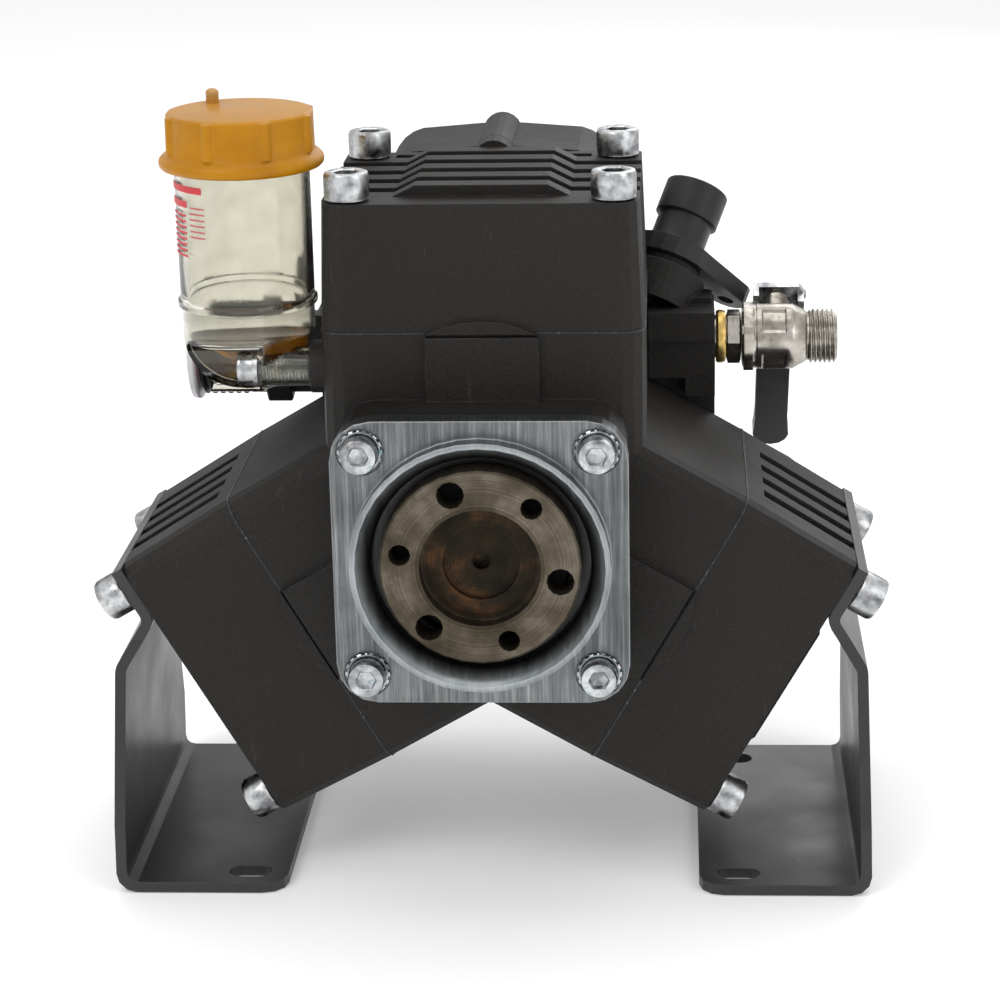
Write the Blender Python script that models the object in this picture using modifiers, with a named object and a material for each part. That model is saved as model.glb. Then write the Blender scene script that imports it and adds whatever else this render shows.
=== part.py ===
"""Three-cylinder radial diaphragm pump: black cast crankcase with three heads in a Y, square drive
flange, clear oil reservoir, threaded suction port, ball valve outlet and two sheet-steel feet.

Every length is in metres.  X is to the right, Y runs back along the shaft and Z is up.  Shapes are
worked out round the shaft axis, with Y counted from the front face of the crankcase, and are then
moved by PUMP_ORIGIN, so that the pump stands on z = 0 with the middle of its box over the origin.
The pieces of each cylinder are modelled in the upright arm and turned into their own arm.
"""
import math

import bmesh
import bpy
from mathutils import Matrix, Vector

# ---- driving dimensions --------------------------------------------------------------------
SHAFT_HEIGHT = 0.1349          # shaft axis above the feet
FRONT_FACE_Y = -0.0699         # crankcase front face from the middle of the box
PUMP_ORIGIN = Vector((0.0, FRONT_FACE_Y, SHAFT_HEIGHT))
GAP = 0.0003                   # between touching pieces

ARMS = {"top": 0.0, "right": math.radians(120), "left": math.radians(-120)}
CASE_HALF = 0.0576             # half width of an arm
CASE_DEPTH = 0.0970            # front face to rear face
CYLINDER_Y = 0.0484            # cylinder axes, halfway through the arm
SEAM = 0.0754                  # radius of the joint between crankcase and head
HEAD_TOP = 0.1220              # radius of the bolt seats
FIN_TOP = 0.1260
FIN_PITCH = 0.0160
FIRST_SLOT_Y = 0.0255
HEAD_TAPER = 0.0017            # draft of a head's sides at its outer face

BOLT_X = 0.0469                # M10 head bolts
BOLT_YS = (0.0084, 0.0884)
M10 = {"shank": 0.0050, "head": 0.0080, "height": 0.0100, "socket": 0.0046}
M8 = {"shank": 0.0040, "head": 0.0065, "height": 0.0080, "socket": 0.0035}
M6 = {"shank": 0.0030, "head": 0.0050, "height": 0.0060, "socket": 0.0029}
BOLT_CLEARANCE = 0.0004

FLANGE_HALF = 0.0520
FLANGE_FRONT = -0.0300
FLANGE_BACK = -0.0220
FLANGE_RIM = -0.0362           # front of the raised ring
FLANGE_SCREW = 0.0411          # half the M8 screw square
FLANGE_BORE = 0.0388
SPIGOT_RADIUS = 0.0397
SPIGOT_BACK = -0.0120

DISC_FRONT = -0.0350           # drive coupling disc on the shaft
DISC_BACK = -0.0250
DISC_RADIUS = 0.0355
DISC_HOLE_CIRCLE = 0.0285
DISC_HOLES = 6
FIRST_HOLE_ANGLE = math.radians(110)

FRONT_BEARING = {"outer": 0.0400, "inner": 0.0200, "y0": -0.0110, "y1": 0.0070}
REAR_BEARING = {"outer": 0.0310, "inner": 0.0150, "y0": 0.0780, "y1": 0.0940}
SEAL = {"outer": 0.0310, "inner": 0.0225, "y0": -0.0200, "y1": -0.0120}
CHAMBER_RADIUS = 0.0370
THROW = 0.0040                 # eccentric offset
ECCENTRIC_RADIUS = 0.0220
RING_FLAT = 0.0280             # eccentric ring: centre to a flat
RING_CORNER = 0.0318
PISTON_RADIUS = 0.0125
PISTON_FOOT = 0.0325           # radius of a piston's foot at rest
STROKE = 0.0080

MANIFOLD_FRONT = 0.0975
MANIFOLD_BACK = 0.1480
MANIFOLD_HALF = 0.0440
RIDGE_RADIUS = 0.0078
RIDGE_AT = 0.1206              # radius of the manifold bolts
PORT_X = 0.0180                # suction and delivery ports either side of the arm's middle
PORT_AT = 0.0840
PORT_RADIUS = 0.0090

PORTS_Y = 0.1040               # suction and outlet axes
SUCTION_Z = 0.0420
OUTLET_Z = 0.0471

PLATE = 0.0040                 # bracket steel
FOOT_FRONT = -0.0130
FOOT_BACK = 0.1185

RESERVOIR = Vector((-0.0865, 0.0280, 0.0))
CAP_TOP = 0.1510
SCREW_Y = 0.0140               # axis of the reservoir's screw and of the oil port
SCREW_Z = 0.0601

RETURN_BASE = Vector((0.0659, 0.1145, 0.0734))     # return port's flange, middle of its underside
RETURN_AXIS = Vector((0.345, 0.50, 0.794)).normalized()
RETURN_EAR = 0.0306            # axis to the hole in the front ear
RETURN_REAR_EAR = 0.0235       # and in the rear ear, a quarter turn round
SEAL_RING = 0.0037             # thickness of the return port's sealing ring
STEM_TILT = math.radians(55)   # ball valve stem, from vertical towards the back
VALVE_CENTRE = Vector((0.1079, PORTS_Y, OUTLET_Z))


# ---- scene and materials -------------------------------------------------------------------
def clear_scene():
    for item in list(bpy.data.objects):
        bpy.data.objects.remove(item, do_unlink=True)


def collection(name):
    group = bpy.data.collections.new(name)
    bpy.context.scene.collection.children.link(group)
    return group


clear_scene()
PUMP = collection("diaphragm_pump")
CUTTERS = collection("cutters")


def material(name, colour, roughness, metallic=0.0, alpha=1.0):
    mat = bpy.data.materials.new(name)
    mat.use_nodes = True
    shader = mat.node_tree.nodes["Principled BSDF"]
    shader.inputs["Base Color"].default_value = (*colour, 1.0)
    shader.inputs["Roughness"].default_value = roughness
    shader.inputs["Metallic"].default_value = metallic
    shader.inputs["Alpha"].default_value = alpha
    return mat


BLACK_CASTING = material("black_painted_casting", (0.028, 0.027, 0.026), 0.62)
BLACK_SHEET = material("black_satin_steel", (0.022, 0.021, 0.021), 0.42, 0.1)
ZINC = material("bright_zinc_steel", (0.66, 0.68, 0.70), 0.30, 1.0)
FLANGE_ALLOY = material("machined_aluminium", (0.52, 0.55, 0.57), 0.42, 1.0)
SHAFT_STEEL = material("turned_steel", (0.30, 0.26, 0.21), 0.45, 0.9)
BEARING_STEEL = material("bearing_steel", (0.60, 0.60, 0.60), 0.25, 1.0)
RUBBER = material("black_rubber", (0.015, 0.015, 0.015), 0.80)
CAST_IRON = material("grey_iron", (0.22, 0.22, 0.23), 0.55, 0.8)
CAP_PLASTIC = material("orange_plastic", (0.80, 0.42, 0.02), 0.38)
CLEAR_PLASTIC = material("clear_plastic", (0.80, 0.79, 0.66), 0.12, 0.0, 0.35)
WHITE_PLASTIC = material("white_translucent_plastic", (0.80, 0.80, 0.82), 0.35)
BLACK_PLASTIC = material("black_plastic", (0.016, 0.016, 0.016), 0.45)
NICKEL = material("nickel_plated_brass", (0.60, 0.56, 0.50), 0.28, 1.0)


# ---- modelling helpers ---------------------------------------------------------------------
def link_mesh(name, mesh, group):
    obj = bpy.data.objects.new(name, mesh)
    group.objects.link(obj)
    return obj


def bmesh_object(name, build):
    work = bmesh.new()
    build(work)
    mesh = bpy.data.meshes.new(name)
    work.to_mesh(mesh)
    work.free()
    return link_mesh(name, mesh, CUTTERS)


def reshape(obj, matrix):
    """Move the shape itself, so that its object keeps a plain transform."""
    obj.data.transform(matrix)
    return obj


def box(low, high):
    low, high = Vector(low), Vector(high)
    size = high - low
    obj = bmesh_object("box", lambda work: bmesh.ops.create_cube(work, size=1.0))
    return reshape(obj, Matrix.Translation((low + high) / 2) @ Matrix.Diagonal((*size, 1.0)))


def rod(start, end, radius, segments=24, end_radius=None, spin=0.0):
    """A cylinder or a cone between two points."""
    start, end = Vector(start), Vector(end)
    axis = end - start
    tip = radius if end_radius is None else end_radius

    def build(work):
        bmesh.ops.create_cone(work, cap_ends=True, segments=segments, radius1=radius,
                              radius2=tip, depth=axis.length)

    turn = axis.to_track_quat("Z", "Y").to_matrix().to_4x4()
    place = Matrix.Translation((start + end) / 2) @ turn @ Matrix.Rotation(spin, 4, "Z")
    return reshape(bmesh_object("rod", build), place)


def prism(outline, low, high):
    """A flat outline in X and Y, made solid from z = low to z = high."""
    curve = bpy.data.curves.new("outline", "CURVE")
    curve.dimensions = "2D"
    curve.fill_mode = "BOTH"
    curve.extrude = (high - low) / 2
    spline = curve.splines.new("POLY")
    spline.points.add(len(outline) - 1)
    for point, (x, y) in zip(spline.points, outline):
        point.co = (x, y, 0.0, 1.0)
    spline.use_cyclic_u = True
    guide = bpy.data.objects.new("outline", curve)
    CUTTERS.objects.link(guide)
    evaluated = guide.evaluated_get(bpy.context.evaluated_depsgraph_get())
    mesh = bpy.data.meshes.new_from_object(evaluated)
    work = bmesh.new()
    work.from_mesh(mesh)
    bmesh.ops.remove_doubles(work, verts=work.verts, dist=1e-6)
    bmesh.ops.recalc_face_normals(work, faces=work.faces)
    work.to_mesh(mesh)
    work.free()
    bpy.data.objects.remove(guide)
    mesh.transform(Matrix.Translation((0, 0, (low + high) / 2)))
    return link_mesh("prism", mesh, CUTTERS)


def along_y(obj):
    """Turn a prism drawn in X and Y so that its outline lies in X and Z and its length in Y."""
    return reshape(obj, Matrix(((1, 0, 0, 0), (0, 0, 1, 0), (0, 1, 0, 0), (0, 0, 0, 1))))


def turn_faces_out(obj):
    obj.data.flip_normals()
    return obj


def front_prism(outline, front, back):
    """An outline in X and Z, made solid from y = front to y = back."""
    return turn_faces_out(along_y(prism(outline, front, back)))


def arc(centre, radius, start, end, steps):
    """Points of an arc, with the angles in degrees."""
    points = []
    for step in range(steps + 1):
        angle = math.radians(start + (end - start) * step / steps)
        points.append((centre[0] + radius * math.cos(angle), centre[1] + radius * math.sin(angle)))
    return points


def rounded_rectangle(low, high, radii, steps=4):
    """Corner radii are given from low-low, going round anticlockwise."""
    (x0, y0), (x1, y1) = low, high
    a, b, c, d = radii
    return (arc((x0 + a, y0 + a), a, 180, 270, steps) + arc((x1 - b, y0 + b), b, 270, 360, steps)
            + arc((x1 - c, y1 - c), c, 0, 90, steps) + arc((x0 + d, y1 - d), d, 90, 180, steps))


def lathe(profile, segments=32):
    """Turn a closed profile of (radius, height) about Z.  It runs down the outer side."""
    work = bmesh.new()
    corners = [work.verts.new((radius, 0.0, height)) for radius, height in profile]
    for index, corner in enumerate(corners):
        following = corners[(index + 1) % len(corners)]
        if corner.co.x > 0.0 or following.co.x > 0.0:
            work.edges.new((corner, following))
    mesh = bpy.data.meshes.new("lathe")
    work.to_mesh(mesh)
    work.free()
    obj = link_mesh("lathe", mesh, CUTTERS)
    screw = obj.modifiers.new("turn", "SCREW")
    screw.steps = segments
    screw.render_steps = segments
    screw.use_merge_vertices = True
    screw.merge_threshold = 0.00001
    return bake(obj)


def bake(obj):
    """Make the modifiers' result the object's own mesh."""
    evaluated = obj.evaluated_get(bpy.context.evaluated_depsgraph_get())
    mesh = bpy.data.meshes.new_from_object(evaluated)
    obj.modifiers.clear()
    obj.data = mesh
    return obj


def combine(target, tool, operation):
    boolean = target.modifiers.new(operation.lower(), "BOOLEAN")
    boolean.operation = operation
    boolean.solver = "EXACT"
    boolean.object = tool
    bake(target)
    bpy.data.objects.remove(tool)
    return target


def join(target, *tools):
    for tool in tools:
        combine(target, tool, "UNION")
    return target


def cut(target, *tools):
    for tool in tools:
        combine(target, tool, "DIFFERENCE")
    return target


def tidy(mesh):
    """Join the slivers that Booleans leave."""
    work = bmesh.new()
    work.from_mesh(mesh)
    bmesh.ops.remove_doubles(work, verts=work.verts, dist=0.00001)
    bmesh.ops.dissolve_degenerate(work, dist=0.000005, edges=work.edges)
    bmesh.ops.dissolve_limit(work, angle_limit=0.002, verts=work.verts, edges=work.edges)
    loose = [edge for edge in work.edges if not edge.link_faces]
    bmesh.ops.delete(work, geom=loose, context="EDGES")
    bmesh.ops.triangulate(work, faces=work.faces)
    work.to_mesh(mesh)
    work.free()


def finish(obj, name, mat, arm="top", pivot=(0.0, 0.0, 0.0), smooth=35):
    """Name a piece and put it in its arm, with its origin at pivot (in the upright arm)."""
    tidy(obj.data)
    obj.name = name
    obj.data.name = name
    obj.data.transform(Matrix.Translation(-Vector(pivot)))
    turn = Matrix.Rotation(ARMS[arm], 4, "Y")
    obj.matrix_world = Matrix.Translation(PUMP_ORIGIN) @ turn @ Matrix.Translation(Vector(pivot))
    obj.data.materials.clear()
    obj.data.materials.append(mat)
    obj.data.shade_smooth()
    obj.data.set_sharp_from_angle(angle=math.radians(smooth))
    CUTTERS.objects.unlink(obj)
    PUMP.objects.link(obj)
    return obj


def cap_screw(size, seat, direction, length):
    """Socket-head cap screw whose head stands on seat and whose shank runs along direction."""
    chamfer, height = 0.0007, size["height"]
    screw = lathe([(0.0, height), (size["head"] - chamfer, height),
                   (size["head"], height - chamfer), (size["head"], 0.0), (size["shank"], 0.0),
                   (size["shank"], -length), (0.0, -length)], 14)
    cut(screw, rod((0, 0, height * 0.45), (0, 0, height + 0.001), size["socket"], 6))
    upright = (-Vector(direction)).to_track_quat("Z", "Y").to_matrix().to_4x4()
    return reshape(screw, Matrix.Translation(Vector(seat)) @ upright)


# ---- crankcase -----------------------------------------------------------------------------
def arm_turn(arm):
    return Matrix.Rotation(ARMS[arm], 4, "Y")


def arm_block():
    outline = rounded_rectangle((-CASE_HALF, 0.0), (CASE_HALF, CASE_DEPTH),
                                (0.008, 0.008, 0.003, 0.003), 3)
    return prism(outline, 0.0, SEAM)


def make_crankcase():
    """One casting: three arms, a square front boss and the oil port's boss, all bored out."""
    body = arm_block()
    for arm in ("left", "right"):
        join(body, reshape(arm_block(), arm_turn(arm)))
    boss = FLANGE_HALF - 0.0008
    outline = rounded_rectangle((-boss, -boss), (boss, boss), (0.012,) * 4, 3)
    join(body, front_prism(outline, FLANGE_BACK + GAP, 0.020))
    join(body, rod((-0.0622, SCREW_Y, SCREW_Z), (-0.0500, SCREW_Y, SCREW_Z), 0.0095, 20))
    for arm in ARMS:
        pad = box((-0.020, -0.0025, 0.045), (0.020, 0.010, SEAM - 0.0010))
        join(body, reshape(pad, arm_turn(arm)))
    y_end = CASE_DEPTH + 0.002
    cut(body,
        rod((0, FLANGE_BACK - 0.002, 0), (0, 0.0073, 0), FRONT_BEARING["outer"] + GAP, 32),
        rod((0, 0.0070, 0), (0, 0.0775, 0), CHAMBER_RADIUS, 28),
        rod((0, 0.0770, 0), (0, y_end, 0), REAR_BEARING["outer"] + GAP, 32))
    for arm in ARMS:
        cut(body, *(reshape(tool, arm_turn(arm)) for tool in cylinder_tools()))
    for x in (-FLANGE_SCREW, FLANGE_SCREW):
        for z in (-FLANGE_SCREW, FLANGE_SCREW):
            cut(body, rod((x, FLANGE_BACK - 0.001, z), (x, -0.001, z),
                          M8["shank"] + BOLT_CLEARANCE, 12))
    port = (SCREW_Y, SCREW_Z)
    cut(body, rod((-0.067, *port), (-0.0540, *port), 0.0050, 12),
        rod((-0.0562, SCREW_Y, SCREW_Z - 0.001), (-0.0300, 0.0200, 0.0150), 0.0042, 12))
    return finish(body, "crankcase", BLACK_CASTING)


def cylinder_tools():
    """What is bored from the seam of one arm: piston bore, oil chamber, rim seat, bolt holes."""
    tools = [rod((0, CYLINDER_Y, 0.020), (0, CYLINDER_Y, 0.060), PISTON_RADIUS + GAP, 20),
             rod((0, CYLINDER_Y, 0.0590), (0, CYLINDER_Y, SEAM + 0.001), 0.0330, 24),
             rod((0, CYLINDER_Y, SEAM - 0.0015), (0, CYLINDER_Y, SEAM + 0.001), 0.0380, 24)]
    for x in (-BOLT_X, BOLT_X):
        for y in BOLT_YS:
            tools.append(rod((x, y, SEAM - 0.020), (x, y, SEAM + 0.001),
                             M10["shank"] + BOLT_CLEARANCE, 10))
    return tools


# ---- heads ---------------------------------------------------------------------------------
def head_shell():
    outline = rounded_rectangle((-CASE_HALF, 0.0), (CASE_HALF, CASE_DEPTH),
                                (0.008, 0.008, 0.003, 0.003), 3)
    shell = prism(outline, SEAM + GAP, HEAD_TOP)
    for vertex in shell.data.vertices:
        if vertex.co.z > HEAD_TOP - 0.001:
            vertex.co.x *= 1.0 - HEAD_TAPER / CASE_HALF
    return shell


def fin_block():
    """Raised middle of the outer face, a trapezium seen from the front."""
    outline = [(-0.0330, HEAD_TOP - 0.004), (0.0330, HEAD_TOP - 0.004), (0.0330, 0.1212),
               (0.0235, FIN_TOP), (-0.0235, FIN_TOP), (-0.0330, 0.1212)]
    return front_prism(outline, 0.0135, 0.0890)


def fin_slots():
    """Slots across the outer face and down both sides, between the fins."""
    tools = []
    for index in range(4):
        y0 = FIRST_SLOT_Y + FIN_PITCH * index - 0.0038
        y1 = y0 + 0.0076
        tools.append(box((-0.070, y0, 0.1165), (0.070, y1, 0.140)))
        for side in (-1, 1):
            inner, outer = side * 0.0516, side * 0.070
            tools.append(box((min(inner, outer), y0, 0.0830), (max(inner, outer), y1, 0.140)))
    y0 = FIRST_SLOT_Y + FIN_PITCH * 4 - 0.0038
    tools.append(box((-0.0370, y0, 0.1165), (0.0370, y0 + 0.0060, 0.140)))
    return tools


def make_head(arm):
    """Cylinder head with cooling fins, pumping chamber, ports to the rear and four bolt holes."""
    body = join(head_shell(), fin_block())
    cut(body, *fin_slots())
    join(body, rod((0, 0.0860, RIDGE_AT), (0, CASE_DEPTH, RIDGE_AT), RIDGE_RADIUS, 20))
    lens = arc((0, SEAM + 0.0050 - 0.0425), 0.0425, 62, 118, 6)
    join(body, front_prism(lens, -0.0020, 0.010))
    cut(body, rod((0, CYLINDER_Y, SEAM - 0.001), (0, CYLINDER_Y, 0.0920), 0.0330, 24),
        rod((0, CYLINDER_Y, SEAM - 0.001), (0, CYLINDER_Y, SEAM + 0.0018), 0.0380, 24))
    for x in (-PORT_X, PORT_X):
        cut(body, rod((x, 0.066, PORT_AT), (x, CASE_DEPTH + 0.001, PORT_AT), PORT_RADIUS, 14))
    for x in (-BOLT_X, BOLT_X):
        for y in BOLT_YS:
            cut(body, rod((x, y, SEAM - 0.001), (x, y, HEAD_TOP + 0.002),
                          M10["shank"] + BOLT_CLEARANCE, 10))
    cut(body, rod((0, 0.0780, RIDGE_AT), (0, CASE_DEPTH + 0.001, RIDGE_AT),
                  M8["shank"] + BOLT_CLEARANCE, 12))
    return finish(body, "head_" + arm, BLACK_CASTING, arm)


def make_head_bolts(arm):
    """Four M10 bolts.  The upper pair of each side head also clamps the bracket's tab."""
    upper = {"top": None, "right": -1, "left": 1}[arm]
    for side, x in (("a", -BOLT_X), ("b", BOLT_X)):
        for place, y in (("front", BOLT_YS[0]), ("rear", BOLT_YS[1])):
            on_tab = upper is not None and x * upper > 0
            seat = HEAD_TOP + GAP + (PLATE + GAP if on_tab else 0.0)
            bolt = cap_screw(M10, (x, y, seat), (0, 0, -1), seat - (SEAM - 0.0190))
            finish(bolt, f"head_bolt_{arm}_{place}_{side}", ZINC, arm)


# ---- drive end -----------------------------------------------------------------------------
def make_front_flange():
    """Square mounting flange with a raised register ring round the shaft."""
    outline = rounded_rectangle((-FLANGE_HALF, -FLANGE_HALF), (FLANGE_HALF, FLANGE_HALF),
                                (0.0145,) * 4, 4)
    body = front_prism(outline, FLANGE_FRONT, FLANGE_BACK)
    join(body, rod((0, FLANGE_BACK + 0.0002, 0), (0, FLANGE_RIM, 0), 0.0458, 40),
         rod((0, FLANGE_BACK - 0.001, 0), (0, SPIGOT_BACK, 0), SPIGOT_RADIUS, 40))
    cut(body, rod((0, FLANGE_RIM - 0.0001, 0), (0, -0.0290, 0), 0.0440, 40, FLANGE_BORE),
        rod((0, -0.0291, 0), (0, -0.0240, 0), FLANGE_BORE, 40),
        rod((0, -0.0245, 0), (0, SPIGOT_BACK + 0.001, 0), SEAL["outer"] + GAP, 36))
    for x in (-FLANGE_SCREW, FLANGE_SCREW):
        for z in (-FLANGE_SCREW, FLANGE_SCREW):
            cut(body, rod((x, FLANGE_FRONT - 0.001, z), (x, FLANGE_FRONT + 0.0010, z),
                          0.0085, 24),
                rod((x, FLANGE_FRONT - 0.001, z), (x, FLANGE_BACK + 0.001, z),
                    M8["shank"] + BOLT_CLEARANCE, 12))
    return finish(body, "front_flange", FLANGE_ALLOY)


def make_flange_screws():
    names = {(-1, 1): "top_left", (1, 1): "top_right", (-1, -1): "bottom_left",
             (1, -1): "bottom_right"}
    for (side_x, side_z), place in names.items():
        seat = (side_x * FLANGE_SCREW, FLANGE_FRONT + 0.0010 - GAP, side_z * FLANGE_SCREW)
        finish(cap_screw(M8, seat, (0, 1, 0), 0.026), "flange_screw_" + place, ZINC)


def make_crankshaft():
    """Shaft in one piece with its drilled coupling disc and the eccentric."""
    profile = [(0.0, DISC_FRONT), (0.0345, DISC_FRONT), (DISC_RADIUS, DISC_FRONT + 0.001),
               (DISC_RADIUS, DISC_BACK), (0.0222, DISC_BACK), (0.0222, -0.0113),
               (0.0197, -0.0113), (0.0197, 0.0080), (0.0240, 0.0080), (0.0240, 0.0320),
               (0.0170, 0.0320), (0.0170, 0.0670), (0.0200, 0.0670), (0.0200, 0.0760),
               (0.0147, 0.0760), (0.0147, 0.0930), (0.0, 0.0930)]
    turned = lathe([(radius, -height) for radius, height in profile], 32)
    body = reshape(turned, Matrix.Rotation(math.radians(90), 4, "X"))
    join(body, rod((0, 0.0300, THROW), (0, 0.0680, THROW), ECCENTRIC_RADIUS, 28))
    cut(body, rod((0, DISC_FRONT - 0.001, 0), (0, -0.0290, 0), 0.0213, 28),
        rod((0, -0.0295, 0), (0, -0.0270, 0), 0.0135, 20),
        rod((0, -0.0275, 0), (0, -0.0230, 0), 0.0031, 12))
    for index in range(DISC_HOLES):
        angle = FIRST_HOLE_ANGLE - index * math.tau / DISC_HOLES
        x, z = DISC_HOLE_CIRCLE * math.cos(angle), DISC_HOLE_CIRCLE * math.sin(angle)
        radius = 0.0049 if index % 2 == 0 else 0.0039
        cut(body, rod((x, DISC_FRONT - 0.001, z), (x, DISC_BACK + 0.001, z), radius, 12))
    return finish(body, "crankshaft", SHAFT_STEEL, pivot=(0, DISC_FRONT, 0))


def ring_between(sizes, segments=32):
    """A plain ring about the shaft axis, with a gap all round."""
    y0, y1 = sizes["y0"] + GAP, sizes["y1"] - GAP
    body = rod((0, y0, 0), (0, y1, 0), sizes["outer"] - GAP, segments)
    return cut(body, rod((0, y0 - 0.001, 0), (0, y1 + 0.001, 0), sizes["inner"] + GAP, 28))


def make_bearings():
    for name, sizes in (("front_bearing", FRONT_BEARING), ("rear_bearing", REAR_BEARING)):
        finish(ring_between(sizes), name, BEARING_STEEL)
    finish(ring_between(SEAL), "oil_seal", RUBBER)


def make_eccentric_ring():
    """Ring with a flat for each piston; it circles with the eccentric and doesn't turn."""
    centre = Vector((0, 0, THROW))
    body = rod(centre + Vector((0, 0.0360, 0)), centre + Vector((0, 0.0610, 0)), RING_CORNER, 36)
    for angle in ARMS.values():
        out = Vector((math.sin(angle), 0, math.cos(angle)))
        flat = box((-0.030, 0.030, RING_FLAT), (0.030, 0.070, 0.050))
        reshape(flat, Matrix.Rotation(angle, 4, "Y"))
        cut(body, reshape(flat, Matrix.Translation(centre)))
    cut(body, rod(centre + Vector((0, 0.0350, 0)), centre + Vector((0, 0.0620, 0)),
                  ECCENTRIC_RADIUS + GAP, 32))
    return finish(body, "eccentric_ring", BEARING_STEEL, pivot=(0, 0.0360, THROW))


# ---- pistons, diaphragms and valves --------------------------------------------------------
def make_piston(arm):
    """Guided piston with a backing plate, a stem through the diaphragm and a clamping disc."""
    profile = [(0.0, 0.0800), (0.0160, 0.0800), (0.0180, 0.0790), (0.0180, 0.0775),
               (0.0065, 0.0775), (0.0065, 0.0655), (0.0180, 0.0655), (0.0180, 0.0635),
               (0.0080, 0.0600), (0.0080, 0.0560), (PISTON_RADIUS, 0.0560),
               (PISTON_RADIUS, PISTON_FOOT + 0.0010), (PISTON_RADIUS - 0.001, PISTON_FOOT),
               (0.0, PISTON_FOOT)]
    body = reshape(lathe(profile, 20), Matrix.Translation((0, CYLINDER_Y, 0)))
    return finish(body, "piston_" + arm, BEARING_STEEL, arm, (0, CYLINDER_Y, PISTON_FOOT))


def make_diaphragm(arm):
    """Rubber disc clamped by its rim at the seam, with one roll round a flat middle."""
    top = SEAM + 0.0015
    profile = [(0.0075, top), (0.0200, top), (0.0260, top + 0.0015), (0.0320, top),
               (0.0370, top), (0.0370, top - 0.0026), (0.0320, top - 0.0026),
               (0.0260, top - 0.0011), (0.0200, top - 0.0026), (0.0075, top - 0.0026)]
    body = reshape(lathe(profile, 20), Matrix.Translation((0, CYLINDER_Y, 0)))
    return finish(body, "diaphragm_" + arm, RUBBER, arm)


def make_valve(arm, kind):
    """Spring-loaded mushroom valve; suction valves lift forwards, delivery valves backwards."""
    forward = kind == "suction"
    x = -PORT_X if forward else PORT_X
    disc = 0.1015 if forward else 0.1005
    stem_end = disc + (0.0090 if forward else 0.0140)
    body = rod((x, disc, PORT_AT), (x, disc + 0.0020, PORT_AT), PORT_RADIUS - 0.0012, 14)
    join(body, rod((x, disc + 0.001, PORT_AT), (x, stem_end, PORT_AT), 0.0022, 10),
         rod((x, disc - 0.0015, PORT_AT), (x, disc + 0.0010, PORT_AT), 0.0040, 12,
             PORT_RADIUS - 0.0020))
    return finish(body, f"{kind}_valve_{arm}", BEARING_STEEL, arm, (x, disc, PORT_AT))


# ---- rear manifold -------------------------------------------------------------------------
def manifold_arm():
    corner = (MANIFOLD_HALF - 0.0155, 0.1070)
    right = arc(corner, 0.0155, 0, 78, 5)
    left = [(-x, z) for x, z in reversed(right)]
    crown = [(0.0080, 0.1240), (-0.0080, 0.1240)]
    outline = [(-MANIFOLD_HALF, 0.0), (MANIFOLD_HALF, 0.0)] + right + crown + left
    body = front_prism(outline, MANIFOLD_FRONT, MANIFOLD_BACK)
    ridge = rod((0, MANIFOLD_FRONT, RIDGE_AT), (0, MANIFOLD_BACK, RIDGE_AT), RIDGE_RADIUS, 20)
    return join(body, ridge)


def arm_point(arm, x, y, radius):
    return arm_turn(arm) @ Vector((x, y, radius))


def make_manifold():
    """Collector behind the heads, with the suction port left and the delivery block right."""
    body = manifold_arm()
    for arm in ("left", "right"):
        join(body, reshape(manifold_arm(), arm_turn(arm)))
    web_back = 0.1300
    top = RETURN_BASE - RETURN_AXIS * SEAL_RING
    join(body, box((0.0300, MANIFOLD_FRONT, 0.0150), (0.0836, web_back, 0.0540)),
         box((CASE_HALF + GAP, 0.0900, 0.0340), (0.0836, 0.1000, 0.0520)),
         box((0.0720, 0.0900, 0.0268), (0.0836, 0.1000, 0.0350)),
         box((CASE_HALF + GAP, 0.0850, 0.0500), (0.0834, 0.1290, 0.0612)),
         box((-0.0700, MANIFOLD_FRONT, 0.0150), (-0.0300, web_back, 0.0610)),
         box((-0.0700, 0.0850, 0.0345), (-CASE_HALF - GAP, 0.1000, 0.0610)),
         rod(top - RETURN_AXIS * 0.0150, top, 0.0160, 28),
         box((0.0560, MANIFOLD_FRONT + 0.0010, 0.0470), (0.0826, 0.1270, 0.0640)))
    cut(body, *port_clearance())
    join(body, screw_lug())
    cut(body, return_bore(), box((-CASE_HALF - GAP, 0.0600, 0.0300),
                                 (CASE_HALF + GAP, MANIFOLD_FRONT, 0.1300)))
    cut(body, screw_lug_bore(), *gallery_tools())
    for arm in ARMS:
        hole = rod((0, MANIFOLD_FRONT - 0.001, RIDGE_AT), (0, MANIFOLD_BACK + 0.001, RIDGE_AT),
                   M8["shank"] + BOLT_CLEARANCE, 12)
        cut(body, reshape(hole, arm_turn(arm)))
    return finish(body, "valve_manifold", BLACK_CASTING)


def in_port(obj):
    """Move a tool from the return port's own axes to its place."""
    return reshape(obj, Matrix.Translation(RETURN_BASE) @ flange_frame())


def port_clearance():
    """Room for the return port's flange, its ears and its sealing ring."""
    low, high, rear = -SEAL_RING, 0.0400, RETURN_REAR_EAR
    return [in_port(rod((0, 0, low), (0, 0, high), 0.0172, 28)),
            in_port(box((0, -0.0130, low), (0.0450, 0.0130, high))),
            in_port(rod((0, rear, -GAP), (0, rear, high), 0.0084, 16)),
            in_port(box((-0.0105, 0, -GAP), (0.0105, rear, high)))]


def screw_lug():
    """Lug for the return port's screw, beside its boss."""
    rear = RETURN_REAR_EAR
    lug = rod((0, rear, -0.0240), (0, rear, -GAP), 0.0070, 16)
    join(lug, box((-0.0060, 0.0080, -0.0180), (0.0060, rear, -SEAL_RING - 0.0006)))
    return in_port(lug)


def screw_lug_bore():
    rear = RETURN_REAR_EAR
    return in_port(rod((0, rear, -0.0150), (0, rear, 0.001), M6["shank"] + BOLT_CLEARANCE, 12))


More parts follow.
